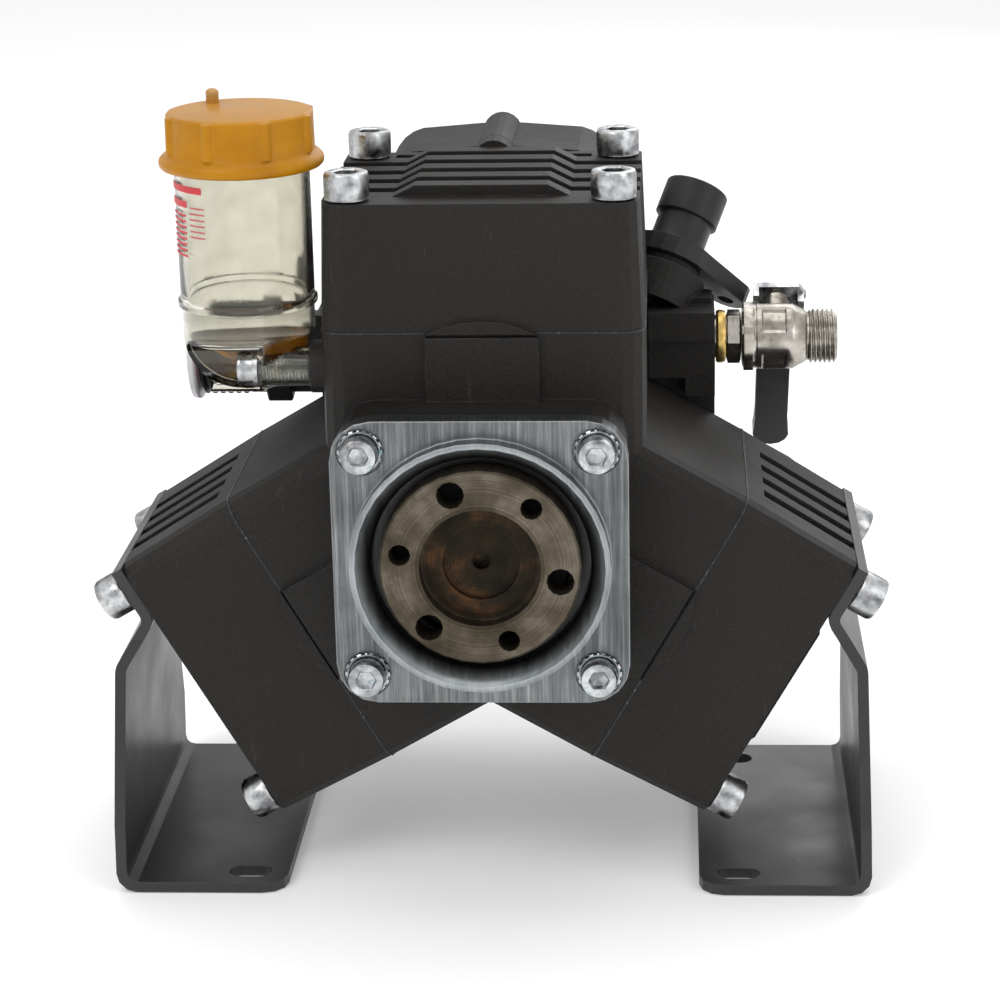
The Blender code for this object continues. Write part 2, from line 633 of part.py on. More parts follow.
def flange_frame():
    """X runs from the return port's axis towards its long ear, Z along the axis."""
    towards_ear = Vector((0.0224, 0.0118, -0.0172))
    towards_ear -= RETURN_AXIS * towards_ear.dot(RETURN_AXIS)
    x_axis = towards_ear.normalized()
    y_axis = RETURN_AXIS.cross(x_axis)
    return Matrix((x_axis, y_axis, RETURN_AXIS)).transposed().to_4x4()


def return_bore():
    return rod(RETURN_BASE - RETURN_AXIS * 0.0260, RETURN_BASE, 0.0075, 16)


def gallery_tools():
    """Suction chamber in front, delivery chamber behind it, and the drillings to the ports."""
    suction_y, delivery_y = 0.1060, 0.1250
    tools = [rod((0, 0.1000, 0), (0, 0.1120, 0), 0.0180, 20),
             rod((0, 0.1180, 0), (0, 0.1320, 0), 0.0180, 20),
             rod((-0.0720, PORTS_Y, SUCTION_Z), (-0.0600, PORTS_Y, SUCTION_Z), 0.0125, 24),
             rod((-0.0610, suction_y, SUCTION_Z), (0.0, suction_y, 0.0), 0.0055, 12),
             rod((0.0, delivery_y, 0.0), (0.0700, delivery_y, OUTLET_Z), 0.0045, 12),
             rod((0.0700, 0.1290, OUTLET_Z), (0.0700, PORTS_Y, OUTLET_Z), 0.0045, 12),
             rod((0.0660, PORTS_Y, OUTLET_Z), (0.0850, PORTS_Y, OUTLET_Z), 0.0088, 20)]
    for arm in ARMS:
        inlet, outlet = arm_point(arm, -PORT_X, 0, PORT_AT), arm_point(arm, PORT_X, 0, PORT_AT)
        for port, depth in ((inlet, 0.1150), (outlet, 0.1300)):
            tools.append(rod((port.x, MANIFOLD_FRONT - 0.001, port.z), (port.x, depth, port.z),
                             PORT_RADIUS, 16))
        tools.append(rod((0, suction_y, 0), (inlet.x, suction_y, inlet.z), 0.0048, 10))
        tools.append(rod((0, delivery_y, 0), (outlet.x, delivery_y, outlet.z), 0.0048, 10))
    return tools


def make_manifold_bolt(arm):
    bolt = cap_screw(M8, (0, MANIFOLD_BACK + GAP, RIDGE_AT), (0, -1, 0), 0.0660)
    return finish(bolt, "manifold_bolt_" + arm, ZINC, arm)


# ---- feet ----------------------------------------------------------------------------------
def bracket_profile():
    """Middle line of the bent plate of the right bracket, as points in X and Z."""
    out = Vector((math.cos(math.radians(30)), -0.5))
    along = Vector((0.5, math.cos(math.radians(30))))
    middle = HEAD_TOP + GAP + PLATE / 2
    sole = PLATE / 2 - SHAFT_HEIGHT
    corners = [out * middle + along * 0.0560, out * middle + along * 0.0340,
               Vector((0.1358, -0.0510)), Vector((0.1378, sole)), Vector((0.0765, sole))]
    return round_corners(corners, (0.0050, 0.0060, 0.0055), 3)


def round_corners(corners, radii, steps):
    """A path through the corners, with an arc in place of each inner one."""
    line = [corners[0]]
    for before, corner, after, radius in zip(corners, corners[1:], corners[2:], radii):
        back, ahead = (before - corner).normalized(), (after - corner).normalized()
        half = back.angle(ahead) / 2
        centre = corner + (back + ahead).normalized() * radius / math.sin(half)
        start = corner + back * radius / math.tan(half) - centre
        end = corner + ahead * radius / math.tan(half) - centre
        for step in range(steps + 1):
            line.append(centre + start.normalized().slerp(end.normalized(), step / steps) * radius)
    return line + [corners[-1]]


def strip_outline(line, thickness):
    """Both sides of a bent strip, mitred at its bends."""
    left, right = [], []
    for index, point in enumerate(line):
        before = (point - line[index - 1]).normalized() if index else None
        after = (line[index + 1] - point).normalized() if index + 1 < len(line) else None
        first, second = before or after, after or before
        normal = Vector((-first.y, first.x)) + Vector((-second.y, second.x))
        normal.normalize()
        reach = thickness / 2 / max(0.5, normal.dot(Vector((-first.y, first.x))))
        left.append(point + normal * reach)
        right.append(point - normal * reach)
    return [tuple(point) for point in left + right[::-1]]


def make_bracket(side):
    """Bent steel foot under the upper bolts of a side head, slotted to be bolted down."""
    outline = strip_outline(bracket_profile(), PLATE)
    if side < 0:
        outline = [(-x, z) for x, z in outline]
    body = front_prism(outline, FOOT_FRONT, FOOT_BACK)
    slant_top = -0.0400
    for front in (True, False):
        edge = FOOT_FRONT if front else FOOT_BACK
        tab_edge = 0.0010 if front else CASE_DEPTH
        outside = edge + (-0.02 if front else 0.02)
        side_view = [(edge, -0.1080), (tab_edge, slant_top), (tab_edge, 0.030),
                     (outside, 0.030), (outside, -0.1080)]
        wedge = prism(side_view, -0.20, 0.20)
        frame = Matrix(((0, 0, 1, 0), (1, 0, 0, 0), (0, 1, 0, 0), (0, 0, 0, 1)))
        cut(body, reshape(wedge, frame))
    for y in BOLT_YS:
        hole = rod((-side * BOLT_X, y, 0.100), (-side * BOLT_X, y, 0.150),
                   M10["shank"] + 2 * BOLT_CLEARANCE, 14)
        cut(body, reshape(hole, arm_turn("right" if side > 0 else "left")))
    low, high = -SHAFT_HEIGHT - 0.005, -SHAFT_HEIGHT + PLATE + 0.005
    for y in (-0.0030, 0.1045):
        slot = rounded_rectangle((side * 0.0910 - 0.0080, y - 0.0045),
                                 (side * 0.0910 + 0.0080, y + 0.0045), (0.0044,) * 4, 4)
        cut(body, prism(slot, low, high))
    for y, inward in ((FOOT_FRONT, 1), (FOOT_BACK, -1)):
        cut(body, prism(toe_cut(side * 0.0765, y, side, inward), low, high))
    return finish(body, "bracket_right" if side > 0 else "bracket_left", BLACK_SHEET)


def toe_cut(x, y, side, inward):
    """What is taken off an inner corner of a foot to round it."""
    radius = 0.0090
    curve = [(x + side * (radius - radius * math.sin(angle)),
              y + inward * (radius - radius * math.cos(angle)))
             for angle in (math.radians(30 * step) for step in range(4))]
    return curve + [(x - side * 0.002, y + inward * radius), (x - side * 0.002, y - inward * 0.002),
                    (x + side * radius, y - inward * 0.002)]


# ---- oil reservoir -------------------------------------------------------------------------
def make_reservoir():
    """Clear cup with a threaded neck, a bowl at the bottom and a sleeve to the oil port."""
    cup = [(0.0243, 0.1360), (0.0243, 0.0850), (0.0253, 0.0830), (0.0253, 0.0810),
           (0.0240, 0.0800), (0.0240, 0.0690), (0.0205, 0.0580), (0.0140, 0.0510),
           (0.0080, 0.0485), (0.0, 0.0480), (0.0, 0.0510), (0.0075, 0.0512),
           (0.0130, 0.0535), (0.0190, 0.0600), (0.0222, 0.0700), (0.0222, 0.1360)]
    body = lathe(cup, 26)
    reshape(body, Matrix.Translation(RESERVOIR))
    axis, pocket = (SCREW_Y, SCREW_Z), 0.0082
    join(body, rod((-0.0990, *axis), (-0.0795, *axis), 0.0090, 20),
         rod((-0.0805, *axis), (-0.0626, *axis), 0.0071, 20))
    cut(body, rod((-0.1200, *axis), (-0.0807, *axis), pocket, 20),
        box((-0.1200, -0.0100, SCREW_Z - pocket), (-0.0807, SCREW_Y, SCREW_Z + pocket)),
        rod((-0.0840, *axis), (-0.0615, *axis), 0.0045, 16))
    return finish(body, "oil_reservoir", CLEAR_PLASTIC)


def make_oil_cap():
    """Screw cap with eight grip ribs, a rim and a small vent nipple."""
    base = [(0.0263, CAP_TOP), (0.0263, 0.1365), (0.0290, 0.1350), (0.0297, 0.1330),
            (0.0285, 0.1310), (0.0250, 0.1305), (0.0250, 0.1480), (0.0, 0.1480), (0.0, CAP_TOP)]
    body = lathe([(0.0, CAP_TOP)] + base[:-1], 28)
    for index in range(8):
        angle = math.radians(-17.5 + 45 * index - 90)
        reach = Vector((math.cos(angle), math.sin(angle), 0.0))
        join(body, rod(reach * 0.0258 + Vector((0, 0, 0.1368)),
                       reach * 0.0258 + Vector((0, 0, CAP_TOP - 0.0004)), 0.0018, 8))
    vent = Vector((-0.0120, 0.0155, 0.0))
    join(body, rod(vent + Vector((0, 0, CAP_TOP - 0.001)), vent + Vector((0, 0, 0.1545)),
                   0.0024, 10),
         rod(vent + Vector((0, 0, 0.1543)), vent + Vector((0, 0, 0.1562)), 0.0024, 10, 0.0012))
    reshape(body, Matrix.Translation(RESERVOIR))
    return finish(body, "oil_cap", CAP_PLASTIC, pivot=(RESERVOIR.x, RESERVOIR.y, 0.1305))


def make_reservoir_screw():
    """Hollow screw that holds the reservoir's sleeve to the crankcase."""
    axis = (SCREW_Y, SCREW_Z)
    body = rod((-0.0888, *axis), (-0.0830, *axis), 0.0070, 24)
    join(body, rod((-0.0831, *axis), (-0.0810, *axis), 0.0074, 24),
         rod((-0.0820, *axis), (-0.0560, *axis), 0.0040, 12))
    cut(body, rod((-0.0900, *axis), (-0.0845, *axis), 0.0035, 6))
    return finish(body, "reservoir_screw", ZINC)


# ---- suction and delivery fittings ---------------------------------------------------------
def thread(crest, root, start, end, turns):
    """Profile points of a V thread from height start down to height end."""
    pitch = (start - end) / turns
    points = []
    for index in range(turns):
        points += [(root, start - index * pitch), (crest, start - (index + 0.5) * pitch)]
    return points + [(root, end)]


def make_suction_spigot():
    """Threaded pipe stub with a hexagon, screwed into the manifold."""
    axis = (PORTS_Y, SUCTION_Z)
    profile = ([(0.0120, 0.1170)] + thread(0.0166, 0.0152, 0.1170, 0.0985, 5)
               + [(0.0161, 0.0980), (0.0161, 0.0703), (0.0120, 0.0703), (0.0120, 0.0640),
                  (0.0095, 0.0640), (0.0095, 0.1000), (0.0120, 0.1000)])
    body = reshape(lathe(profile, 20), Matrix.Rotation(math.radians(-90), 4, "Y"))
    reshape(body, Matrix.Translation((0.0, *axis)))
    nut = rod((-0.0915, *axis), (-0.0815, *axis), 0.0196, 6, spin=math.radians(10))
    cut(nut, rod((-0.0925, *axis), (-0.0805, *axis), 0.0130, 12))
    join(body, nut)
    return finish(body, "suction_spigot", BLACK_PLASTIC)


def make_suction_plug():
    """Push-in dust plug with a broad rim."""
    profile = [(0.0, 0.0040), (0.0150, 0.0040), (0.0182, 0.0030), (0.0186, 0.0010),
               (0.0180, 0.0), (0.0116, 0.0), (0.0112, -0.0120), (0.0096, -0.0120),
               (0.0100, 0.0020), (0.0, 0.0020)]
    body = lathe(profile, 28)
    turn = Matrix.Rotation(math.radians(-90), 4, "Y")
    place = Matrix.Translation((-0.1176, PORTS_Y, SUCTION_Z))
    reshape(body, place @ turn)
    return finish(body, "suction_plug", WHITE_PLASTIC,
                  pivot=(-0.1176, PORTS_Y, SUCTION_Z))


def make_return_port():
    """Slanted hose spigot on a round flange with two drilled ears."""
    thick, rim, ear = 0.0070, 0.0160, 0.0078
    body = prism(arc((RETURN_EAR, 0.0), ear, -66, 66, 5) + arc((0.0, 0.0), rim, 62, 298, 12),
                 0.0, thick)
    rear = prism(arc((RETURN_REAR_EAR, 0.0), ear, -60, 60, 5) + arc((0.0, 0.0), 0.0140, 55, 305, 8),
                 0.0004, thick - 0.0004)
    join(body, reshape(rear, Matrix.Rotation(math.radians(90), 4, "Z")),
         rod((0, 0, thick - 0.001), (0, 0, 0.0200), 0.0108, 24),
         rod((0, 0, 0.0195), (0, 0, 0.0330), 0.0123, 24))
    cut(body, rod((0, 0, -0.001), (0, 0, 0.0340), 0.0078, 20))
    for x, y in ((RETURN_EAR, 0), (0, RETURN_REAR_EAR)):
        cut(body, rod((x, y, -0.001), (x, y, thick + 0.001), M6["shank"] + BOLT_CLEARANCE, 12))
    return finish(in_port(body), "return_port", BLACK_CASTING)


def make_return_seal():
    ring = rod((0, 0, GAP - SEAL_RING), (0, 0, -GAP), 0.0125, 24)
    cut(ring, rod((0, 0, -SEAL_RING - 0.001), (0, 0, 0.001), 0.0085, 20))
    return finish(in_port(ring), "return_seal", RUBBER)


def make_outlet_nipple():
    """Hexagon nipple between the delivery block and the valve."""
    axis = (PORTS_Y, OUTLET_Z)
    body = rod((0.0720, *axis), (0.0890, *axis), 0.0083, 24)
    join(body, rod((0.0882, *axis), (0.0938, *axis), 0.0108, 6, spin=math.radians(30)))
    cut(body, rod((0.0710, *axis), (0.0950, *axis), 0.0055, 16))
    return finish(body, "outlet_nipple", NICKEL)


def valve_frame():
    """X along the pipe, Y along the closed lever, Z up the stem."""
    stem = Vector((0.0, math.sin(STEM_TILT), math.cos(STEM_TILT)))
    lever = Vector((0.0, math.cos(STEM_TILT), -math.sin(STEM_TILT)))
    turn = Matrix((Vector((1.0, 0.0, 0.0)), lever, stem)).transposed().to_4x4()
    return Matrix.Translation(VALVE_CENTRE) @ turn


def make_valve_body():
    """Ball valve body with a male outlet thread and a bore for the stem."""
    axis = (PORTS_Y, OUTLET_Z)
    profile = ([(0.0, 0.1309)] + thread(0.0105, 0.0095, 0.1309, 0.1200, 5)
               + [(0.0098, 0.1192), (0.0127, 0.1140), (0.0127, 0.0945), (0.0, 0.0945)])
    body = reshape(lathe(profile, 24), Matrix.Rotation(math.radians(90), 4, "Y"))
    reshape(body, Matrix.Translation((0.0, *axis)))
    join(body, rod((0.0941, *axis), (0.0990, *axis), 0.0136, 8, spin=math.radians(22.5)))
    gland = valve_frame()
    join(body, reshape(rod((0, 0, 0.0080), (0, 0, 0.0180), 0.0062, 16), gland))
    cut(body, rod((0.0930, *axis), (0.1320, *axis), 0.0068, 20),
        rod((0.0930, *axis), (0.1160, *axis), 0.0100, 24),
        reshape(rod((0, 0, 0.0), (0, 0, 0.0200), 0.0032, 12), gland))
    return finish(body, "valve_body", NICKEL)


def make_valve_ball():
    def build(work):
        bmesh.ops.create_uvsphere(work, u_segments=14, v_segments=8, radius=0.0092)

    ball = bmesh_object("ball", build)
    cut(ball, rod((0, -0.012, 0), (0, 0.012, 0), 0.0055, 16),
        box((-0.0020, -0.0100, 0.0068), (0.0020, 0.0100, 0.0120)))
    reshape(ball, valve_frame())
    return finish(ball, "valve_ball", NICKEL, pivot=VALVE_CENTRE)


def make_valve_stem():
    body = box((-0.0016, -0.0026, 0.0072), (0.0016, 0.0026, 0.0095))
    join(body, rod((0, 0, 0.0093), (0, 0, 0.0203), 0.0028, 12),
         rod((0, 0, 0.0201), (0, 0, 0.0260), 0.0022, 12))
    reshape(body, valve_frame())
    return finish(body, "valve_stem", NICKEL, pivot=VALVE_CENTRE)


def make_lever():
    """Flat zinc lever with two stop ears, and a bent neck under its sleeve."""
    plate = [(-0.0090, -0.0055), (0.0090, -0.0055), (0.0120, 0.0), (0.0090, 0.0090),
             (0.0050, 0.0160), (0.0050, 0.0300), (-0.0050, 0.0300), (-0.0050, 0.0160),
             (-0.0090, 0.0080)]
    body = prism(plate, 0.0205, 0.0230)
    join(body, box((-0.0090, -0.0055, 0.0160), (-0.0068, 0.0020, 0.0228)),
         box((0.0085, -0.0020, 0.0160), (0.0110, 0.0050, 0.0228)),
         box((-0.0050, 0.0290, 0.0205), (0.0050, 0.0860, 0.0230)))
    cut(body, rod((0, 0, 0.0190), (0, 0, 0.0250), 0.0025, 12))
    reshape(body, valve_frame())
    return finish(body, "lever", ZINC, pivot=VALVE_CENTRE)


def make_lever_grip():
    """Plastic sleeve over the lever, wider at its end."""
    half, tip = 0.0067, 0.0075
    outline = ([(-half, 0.0180), (half, 0.0180), (half, 0.0740)]
               + arc((0.0, 0.0835), tip, -20, 200, 8) + [(-half, 0.0740)])
    body = prism(outline, 0.0180, 0.0255)
    cut(body, box((-0.0053, 0.0170, 0.0202), (0.0053, 0.0870, 0.0233)))
    reshape(body, valve_frame())
    return finish(body, "lever_grip", BLACK_PLASTIC, pivot=VALVE_CENTRE)


def make_return_screw():
    """Screw in the port's rear ear; the front ear's hole stays empty."""
    seat = RETURN_BASE + flange_frame() @ Vector((0, RETURN_REAR_EAR, 0.0070 + GAP))
    return finish(cap_screw(M6, seat, -RETURN_AXIS, 0.0200), "return_screw", ZINC)


def main():
    make_crankcase()
    make_front_flange()
    make_flange_screws()
    make_crankshaft()
    make_bearings()
    make_eccentric_ring()
    for arm in ARMS:
        make_head(arm)
        make_head_bolts(arm)
        make_piston(arm)
        make_diaphragm(arm)
        make_valve(arm, "suction")
        make_valve(arm, "delivery")
        make_manifold_bolt(arm)
    make_manifold()
    for side in (-1, 1):
        make_bracket(side)
    make_reservoir()
    make_oil_cap()
    make_reservoir_screw()
    make_suction_spigot()
    make_suction_plug()
    make_return_port()
    make_return_seal()
    make_return_screw()
    make_outlet_nipple()
    make_valve_body()
    make_valve_ball()
    make_valve_stem()
    make_lever()
    make_lever_grip()


main()
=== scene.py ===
"""Looks of the three-cylinder diaphragm pump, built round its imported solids.

Lengths are metres.  Positions written with at() are counted from the shaft axis and the front
face of the crankcase, as in the part's own source: X right, Y back along the shaft, Z up.
"""
import math

import bmesh
import bpy
from mathutils import Matrix, Vector, noise


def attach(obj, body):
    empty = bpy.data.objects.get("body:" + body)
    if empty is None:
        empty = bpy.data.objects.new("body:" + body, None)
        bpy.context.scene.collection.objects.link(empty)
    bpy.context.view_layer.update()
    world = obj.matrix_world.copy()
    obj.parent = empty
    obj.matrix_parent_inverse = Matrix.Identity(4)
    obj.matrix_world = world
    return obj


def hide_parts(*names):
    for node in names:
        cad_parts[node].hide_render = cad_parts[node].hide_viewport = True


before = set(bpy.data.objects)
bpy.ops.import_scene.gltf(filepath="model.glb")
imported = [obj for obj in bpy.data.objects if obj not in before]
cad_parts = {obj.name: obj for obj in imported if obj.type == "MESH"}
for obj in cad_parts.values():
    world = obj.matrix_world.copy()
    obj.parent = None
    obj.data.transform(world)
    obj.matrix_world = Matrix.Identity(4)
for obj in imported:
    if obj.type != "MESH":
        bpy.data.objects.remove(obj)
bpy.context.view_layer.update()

# ---- dimensions ----------------------------------------------------------------------------
ORIGIN = Vector((0.0, -0.0699, 0.1349))      # shaft axis at the crankcase's front face
ARMS = {"top": 0.0, "right": math.radians(120), "left": math.radians(-120)}   # turn about Y
CASE_HALF = 0.0576             # half width of an arm
CASE_DEPTH = 0.0970            # front face to rear face
FRONT_CORNER = 0.008           # an arm's corner radii
REAR_CORNER = 0.003
SEAM = 0.0754                  # radius of the joint under each head
FLANGE_SCREW = 0.0411          # half the flange's screw square
WASHER_Y = -0.02905            # floor of the flange's spotfaces
FLANGE_RING = 0.0458           # outer radius of the raised ring
FLANGE_BORE = 0.0390
DISC_RECESS = 0.0211           # radius of the coupling disc's recess
PORTS_Y = 0.1040               # suction and outlet axes
SUCTION_Z = 0.0420
OUTLET_Z = 0.0471
HEXAGON_SPIN = math.radians(10)              # turn of the suction pipe's hexagon
VALVE_X = 0.1079               # middle of the valve's ball
STEM_TILT = math.radians(55)   # valve stem, from vertical towards the back
RESERVOIR = Vector((-0.0865, 0.0280, 0.0))   # the cup's axis, at the shaft's height
CUP_TOP = 0.1360               # heights above the shaft axis
CUP_SHOULDER = 0.0700          # where the cup's bowl begins
CUP_BORE = 0.0222              # inner radius of the cup
PRINT_RADIUS = 0.02445         # just outside the cup's wall
SLEEVE_END = -0.0626           # X of the sleeve's inner end
CAP_TOP = 0.1510
CAP_RIBS = 8
FIRST_RIB = -107.5             # bearing of one grip rib, in degrees
RIB_HALF_WIDTH = 0.0021
RIB_HEIGHT = 0.0014
VENT = Vector((-0.0120, 0.0155, 0.0))        # vent nipple, from the cap's middle
OIL_LEVEL = 0.0700
SCREW_Y = 0.0140               # axis of the reservoir's screw
SCREW_Z = 0.0601
RETURN_BASE = Vector((0.0659, 0.1145, 0.0734))
RETURN_AXIS = Vector((0.345, 0.50, 0.794)).normalized()
COLLAR_GROOVES = 15
BEAD_PROUD = 0.00022           # seam compound: height over the casting
BEAD_HALF = 0.00034            # half its width
BEAD_SUNK = 0.0006             # how far it is buried
# socket screws: radius and height of the head, apothem of the socket, radius of the shank
M10 = {"head": 0.0080, "height": 0.0100, "socket": 0.0041, "shank": 0.0048}
M8 = {"head": 0.0065, "height": 0.0080, "socket": 0.0031, "shank": 0.0038}
M6 = {"head": 0.0050, "height": 0.0060, "socket": 0.0026, "shank": 0.0028}
SHANK_LENGTH = 0.0040          # shank below a head; the rest is hidden
FINE = 96                      # segments round a knurled head
ROUND = 72                     # segments round a fitting
BOWL_RINGS = 9                 # rings from the foot of the bowl to its shoulder
TURN_SAMPLES = 10              # rings to one turn of a thread

CAMERA_AT = Vector((0.06719, -1.01401, 0.45452))
CAMERA_YAW = -0.05312          # radians; yaw 0 looks along Y
CAMERA_PITCH = -0.29079
CAMERA_ROLL = -0.01842
CAMERA_LENS = 99.78
CAMERA_SHIFT = (-0.0315, -0.0610)
SENSOR_WIDTH = 36.0

LIGHT_TARGET = (0.0, 0.0, 0.15)
LIGHTS = (                     # name, place, size, watts
    ("key", (-0.9, -1.3, 1.5), (1.0, 1.0), 11.0),
    ("fill", (1.3, -0.9, 0.7), (1.0, 1.0), 4.0),
    ("top", (0.0, 0.3, 1.7), (1.4, 1.4), 9.0),
    ("back", (0.6, 1.5, 1.0), (1.2, 1.0), 6.0),
)
BACKDROP_STRENGTH = 0.80
FLOOR_HALF = 6.0
FLOOR_DROP = 0.0004            # keeps the floor off the feet


def at(x, y, z):
    """A place counted from the shaft axis at the crankcase's front face."""
    return ORIGIN + Vector((x, y, z))


# ---- material helpers ----------------------------------------------------------------------
class Paint:
    """A node material under construction: a Principled shader with helpers that feed it."""

    def __init__(self, name, colour, roughness, metallic=0.0):
        self.mat = bpy.data.materials.new(name)
        self.mat.use_nodes = True
        self.tree = self.mat.node_tree
        self.shader = self.tree.nodes["Principled BSDF"]
        self.shader.inputs["Base Color"].default_value = (*colour, 1.0)
        self.shader.inputs["Roughness"].default_value = roughness
        self.shader.inputs["Metallic"].default_value = metallic
        self.place = self.tree.nodes.new("ShaderNodeTexCoord").outputs["Object"]

    def link(self, source, target):
        self.tree.links.new(source, target)

    def stretched(self, scale):
        """The object's coordinates, scaled by axis."""
        mapping = self.tree.nodes.new("ShaderNodeMapping")
        mapping.inputs["Scale"].default_value = scale
        self.link(self.place, mapping.inputs["Vector"])
        return mapping.outputs["Vector"]

    def noise(self, scale, detail=3.0, rough=0.55, where=None, distortion=0.0):
        """Noise through the object, or at other coordinates."""
        node = self.tree.nodes.new("ShaderNodeTexNoise")
        node.inputs["Scale"].default_value = scale
        node.inputs["Detail"].default_value = detail
        node.inputs["Roughness"].default_value = rough
        node.inputs["Distortion"].default_value = distortion
        self.link(where or self.place, node.inputs["Vector"])
        return node.outputs["Fac"]

    def noise_along(self, value, scale, detail):
        """Noise along one value, such as the distance from an axis."""
        node = self.tree.nodes.new("ShaderNodeTexNoise")
        node.noise_dimensions = "1D"
        node.inputs["Scale"].default_value = scale
        node.inputs["Detail"].default_value = detail
        self.link(value, node.inputs["W"])
        return node.outputs["Fac"]

    def ramp(self, source, stops):
        """A value turned into the greys or colours of its stops."""
        node = self.tree.nodes.new("ShaderNodeValToRGB")
        band = node.color_ramp
        while len(band.elements) < len(stops):
            band.elements.new(0.5)
        for element, (where, colour) in zip(band.elements, stops):
            element.position = where
            value = (colour,) * 3 if isinstance(colour, (int, float)) else colour
            element.color = (*value, 1.0)
        self.link(source, node.inputs["Fac"])
        return node.outputs["Color"]

    def math(self, kind, first, second=0.5):
        """A sum on sockets or numbers; a square root takes no second one."""
        node = self.tree.nodes.new("ShaderNodeMath")
        node.operation = kind
        for socket, value in zip(node.inputs, (first, second)):
            if isinstance(value, (int, float)):
                socket.default_value = value
            else:
                self.link(value, socket)
        return node.outputs["Value"]

    def mix(self, factor, first, second, kind="MIX"):
        """Two colours mixed by a factor."""
        node = self.tree.nodes.new("ShaderNodeMix")
        node.data_type = "RGBA"
        node.blend_type = kind
        for key, value in (("Factor", factor), ("A", first), ("B", second)):
            socket = next(s for s in node.inputs if s.name == key and s.enabled)
            if isinstance(value, (int, float)):
                socket.default_value = value
            elif isinstance(value, tuple):
                socket.default_value = (*value, 1.0)
            else:
                self.link(value, socket)
        return next(s for s in node.outputs if s.enabled)

    def over(self, colour, mask, strength, other):
        """A colour with another laid over it where the mask is 1."""
        return self.mix(self.math("MULTIPLY", mask, strength), colour, other)

    def rounded(self, width):
        """The surface normal, as if each edge were rounded over that width."""
        bevel = self.tree.nodes.new("ShaderNodeBevel")
        bevel.samples = 4
        bevel.inputs["Radius"].default_value = width
        return bevel.outputs["Normal"]

    def edges(self, width):
        """1 along convex and concave edges, 0 on flats."""
        geometry = self.tree.nodes.new("ShaderNodeNewGeometry")
        dot = self.tree.nodes.new("ShaderNodeVectorMath")
        dot.operation = "DOT_PRODUCT"
        self.link(self.rounded(width), dot.inputs[0])
        self.link(geometry.outputs["Normal"], dot.inputs[1])
        return self.ramp(dot.outputs["Value"], [(0.80, 1.0), (0.985, 0.0)])

    def split(self, vector):
        """The X, Y and Z of a vector."""
        node = self.tree.nodes.new("ShaderNodeSeparateXYZ")
        self.link(vector, node.inputs["Vector"])
        return node.outputs

    def bump(self, height, strength, distance, normal=None):
        """Relief on the shader, over rounded edges if a normal is given."""
        node = self.tree.nodes.new("ShaderNodeBump")
        node.inputs["Strength"].default_value = strength
        node.inputs["Distance"].default_value = distance
        self.link(height, node.inputs["Height"])
        if normal is not None:
            self.link(normal, node.inputs["Normal"])
        self.link(node.outputs["Normal"], self.shader.inputs["Normal"])

    def shaft_radius(self):
        """Distance from the shaft axis."""
        shift = self.tree.nodes.new("ShaderNodeVectorMath")
        shift.operation = "SUBTRACT"
        shift.inputs[1].default_value = ORIGIN
        self.link(self.place, shift.inputs[0])
        part = self.split(shift.outputs["Vector"])
        x2 = self.math("MULTIPLY", part["X"], part["X"])
        z2 = self.math("MULTIPLY", part["Z"], part["Z"])
        return self.math("SQRT", self.math("ADD", x2, z2))

    def feed(self, name, source):
        """Drive an input of the shader from a socket."""
        self.link(source, self.shader.inputs[name])

    def set(self, **values):
        """Give inputs of the shader fixed values; _ in a name stands for a space."""
        for name, value in values.items():
            self.shader.inputs[name.replace("_", " ")].default_value = value
        return self


# ---- materials -----------------------------------------------------------------------------
def casting_paint():
    """Warm black paint over a fine cast skin, lighter along the edges: partly rubbed wear, partly
    painted highlight.
    """
    paint = Paint("black_painted_casting", (0.028, 0.026, 0.024), 0.55)
    broad = paint.noise(18.0, 4.0)
    grain = paint.noise(1400.0, 2.0)
    colour = paint.ramp(broad, [(0.30, (0.0092, 0.0080, 0.0070)),
                                (0.72, (0.0155, 0.0136, 0.0120))])
    speck = paint.ramp(grain, [(0.38, 0.72), (0.64, 1.35)])
    colour = paint.mix(1.0, colour, speck, "MULTIPLY")
    patchy = paint.ramp(paint.noise(120.0, 3.0), [(0.42, 0.0), (0.62, 1.0)])
    # Lighter colour along the edges: partly rubbed wear, partly a painted highlight.
    edge_wear_and_highlight = paint.math("MULTIPLY", paint.edges(0.0007), patchy)
    colour = paint.over(colour, edge_wear_and_highlight, 0.55, (0.085, 0.078, 0.070))
    upright = paint.noise(60.0, 2.0, 0.5, paint.stretched((9.0, 9.0, 0.7)), 1.2)
    scratch = paint.ramp(upright, [(0.705, 0.0), (0.725, 1.0)])
    colour = paint.over(colour, scratch, 0.10, (0.12, 0.11, 0.10))
    paint.feed("Base Color", colour)
    paint.feed("Roughness", paint.ramp(broad, [(0.3, 0.50), (0.7, 0.64)]))
    height = paint.math("ADD", grain, paint.math("MULTIPLY", paint.noise(320.0, 2.0), 1.4))
    paint.bump(height, 0.55, 0.00026, paint.rounded(0.0007))
    return paint.set(Specular_IOR_Level=0.25).mat


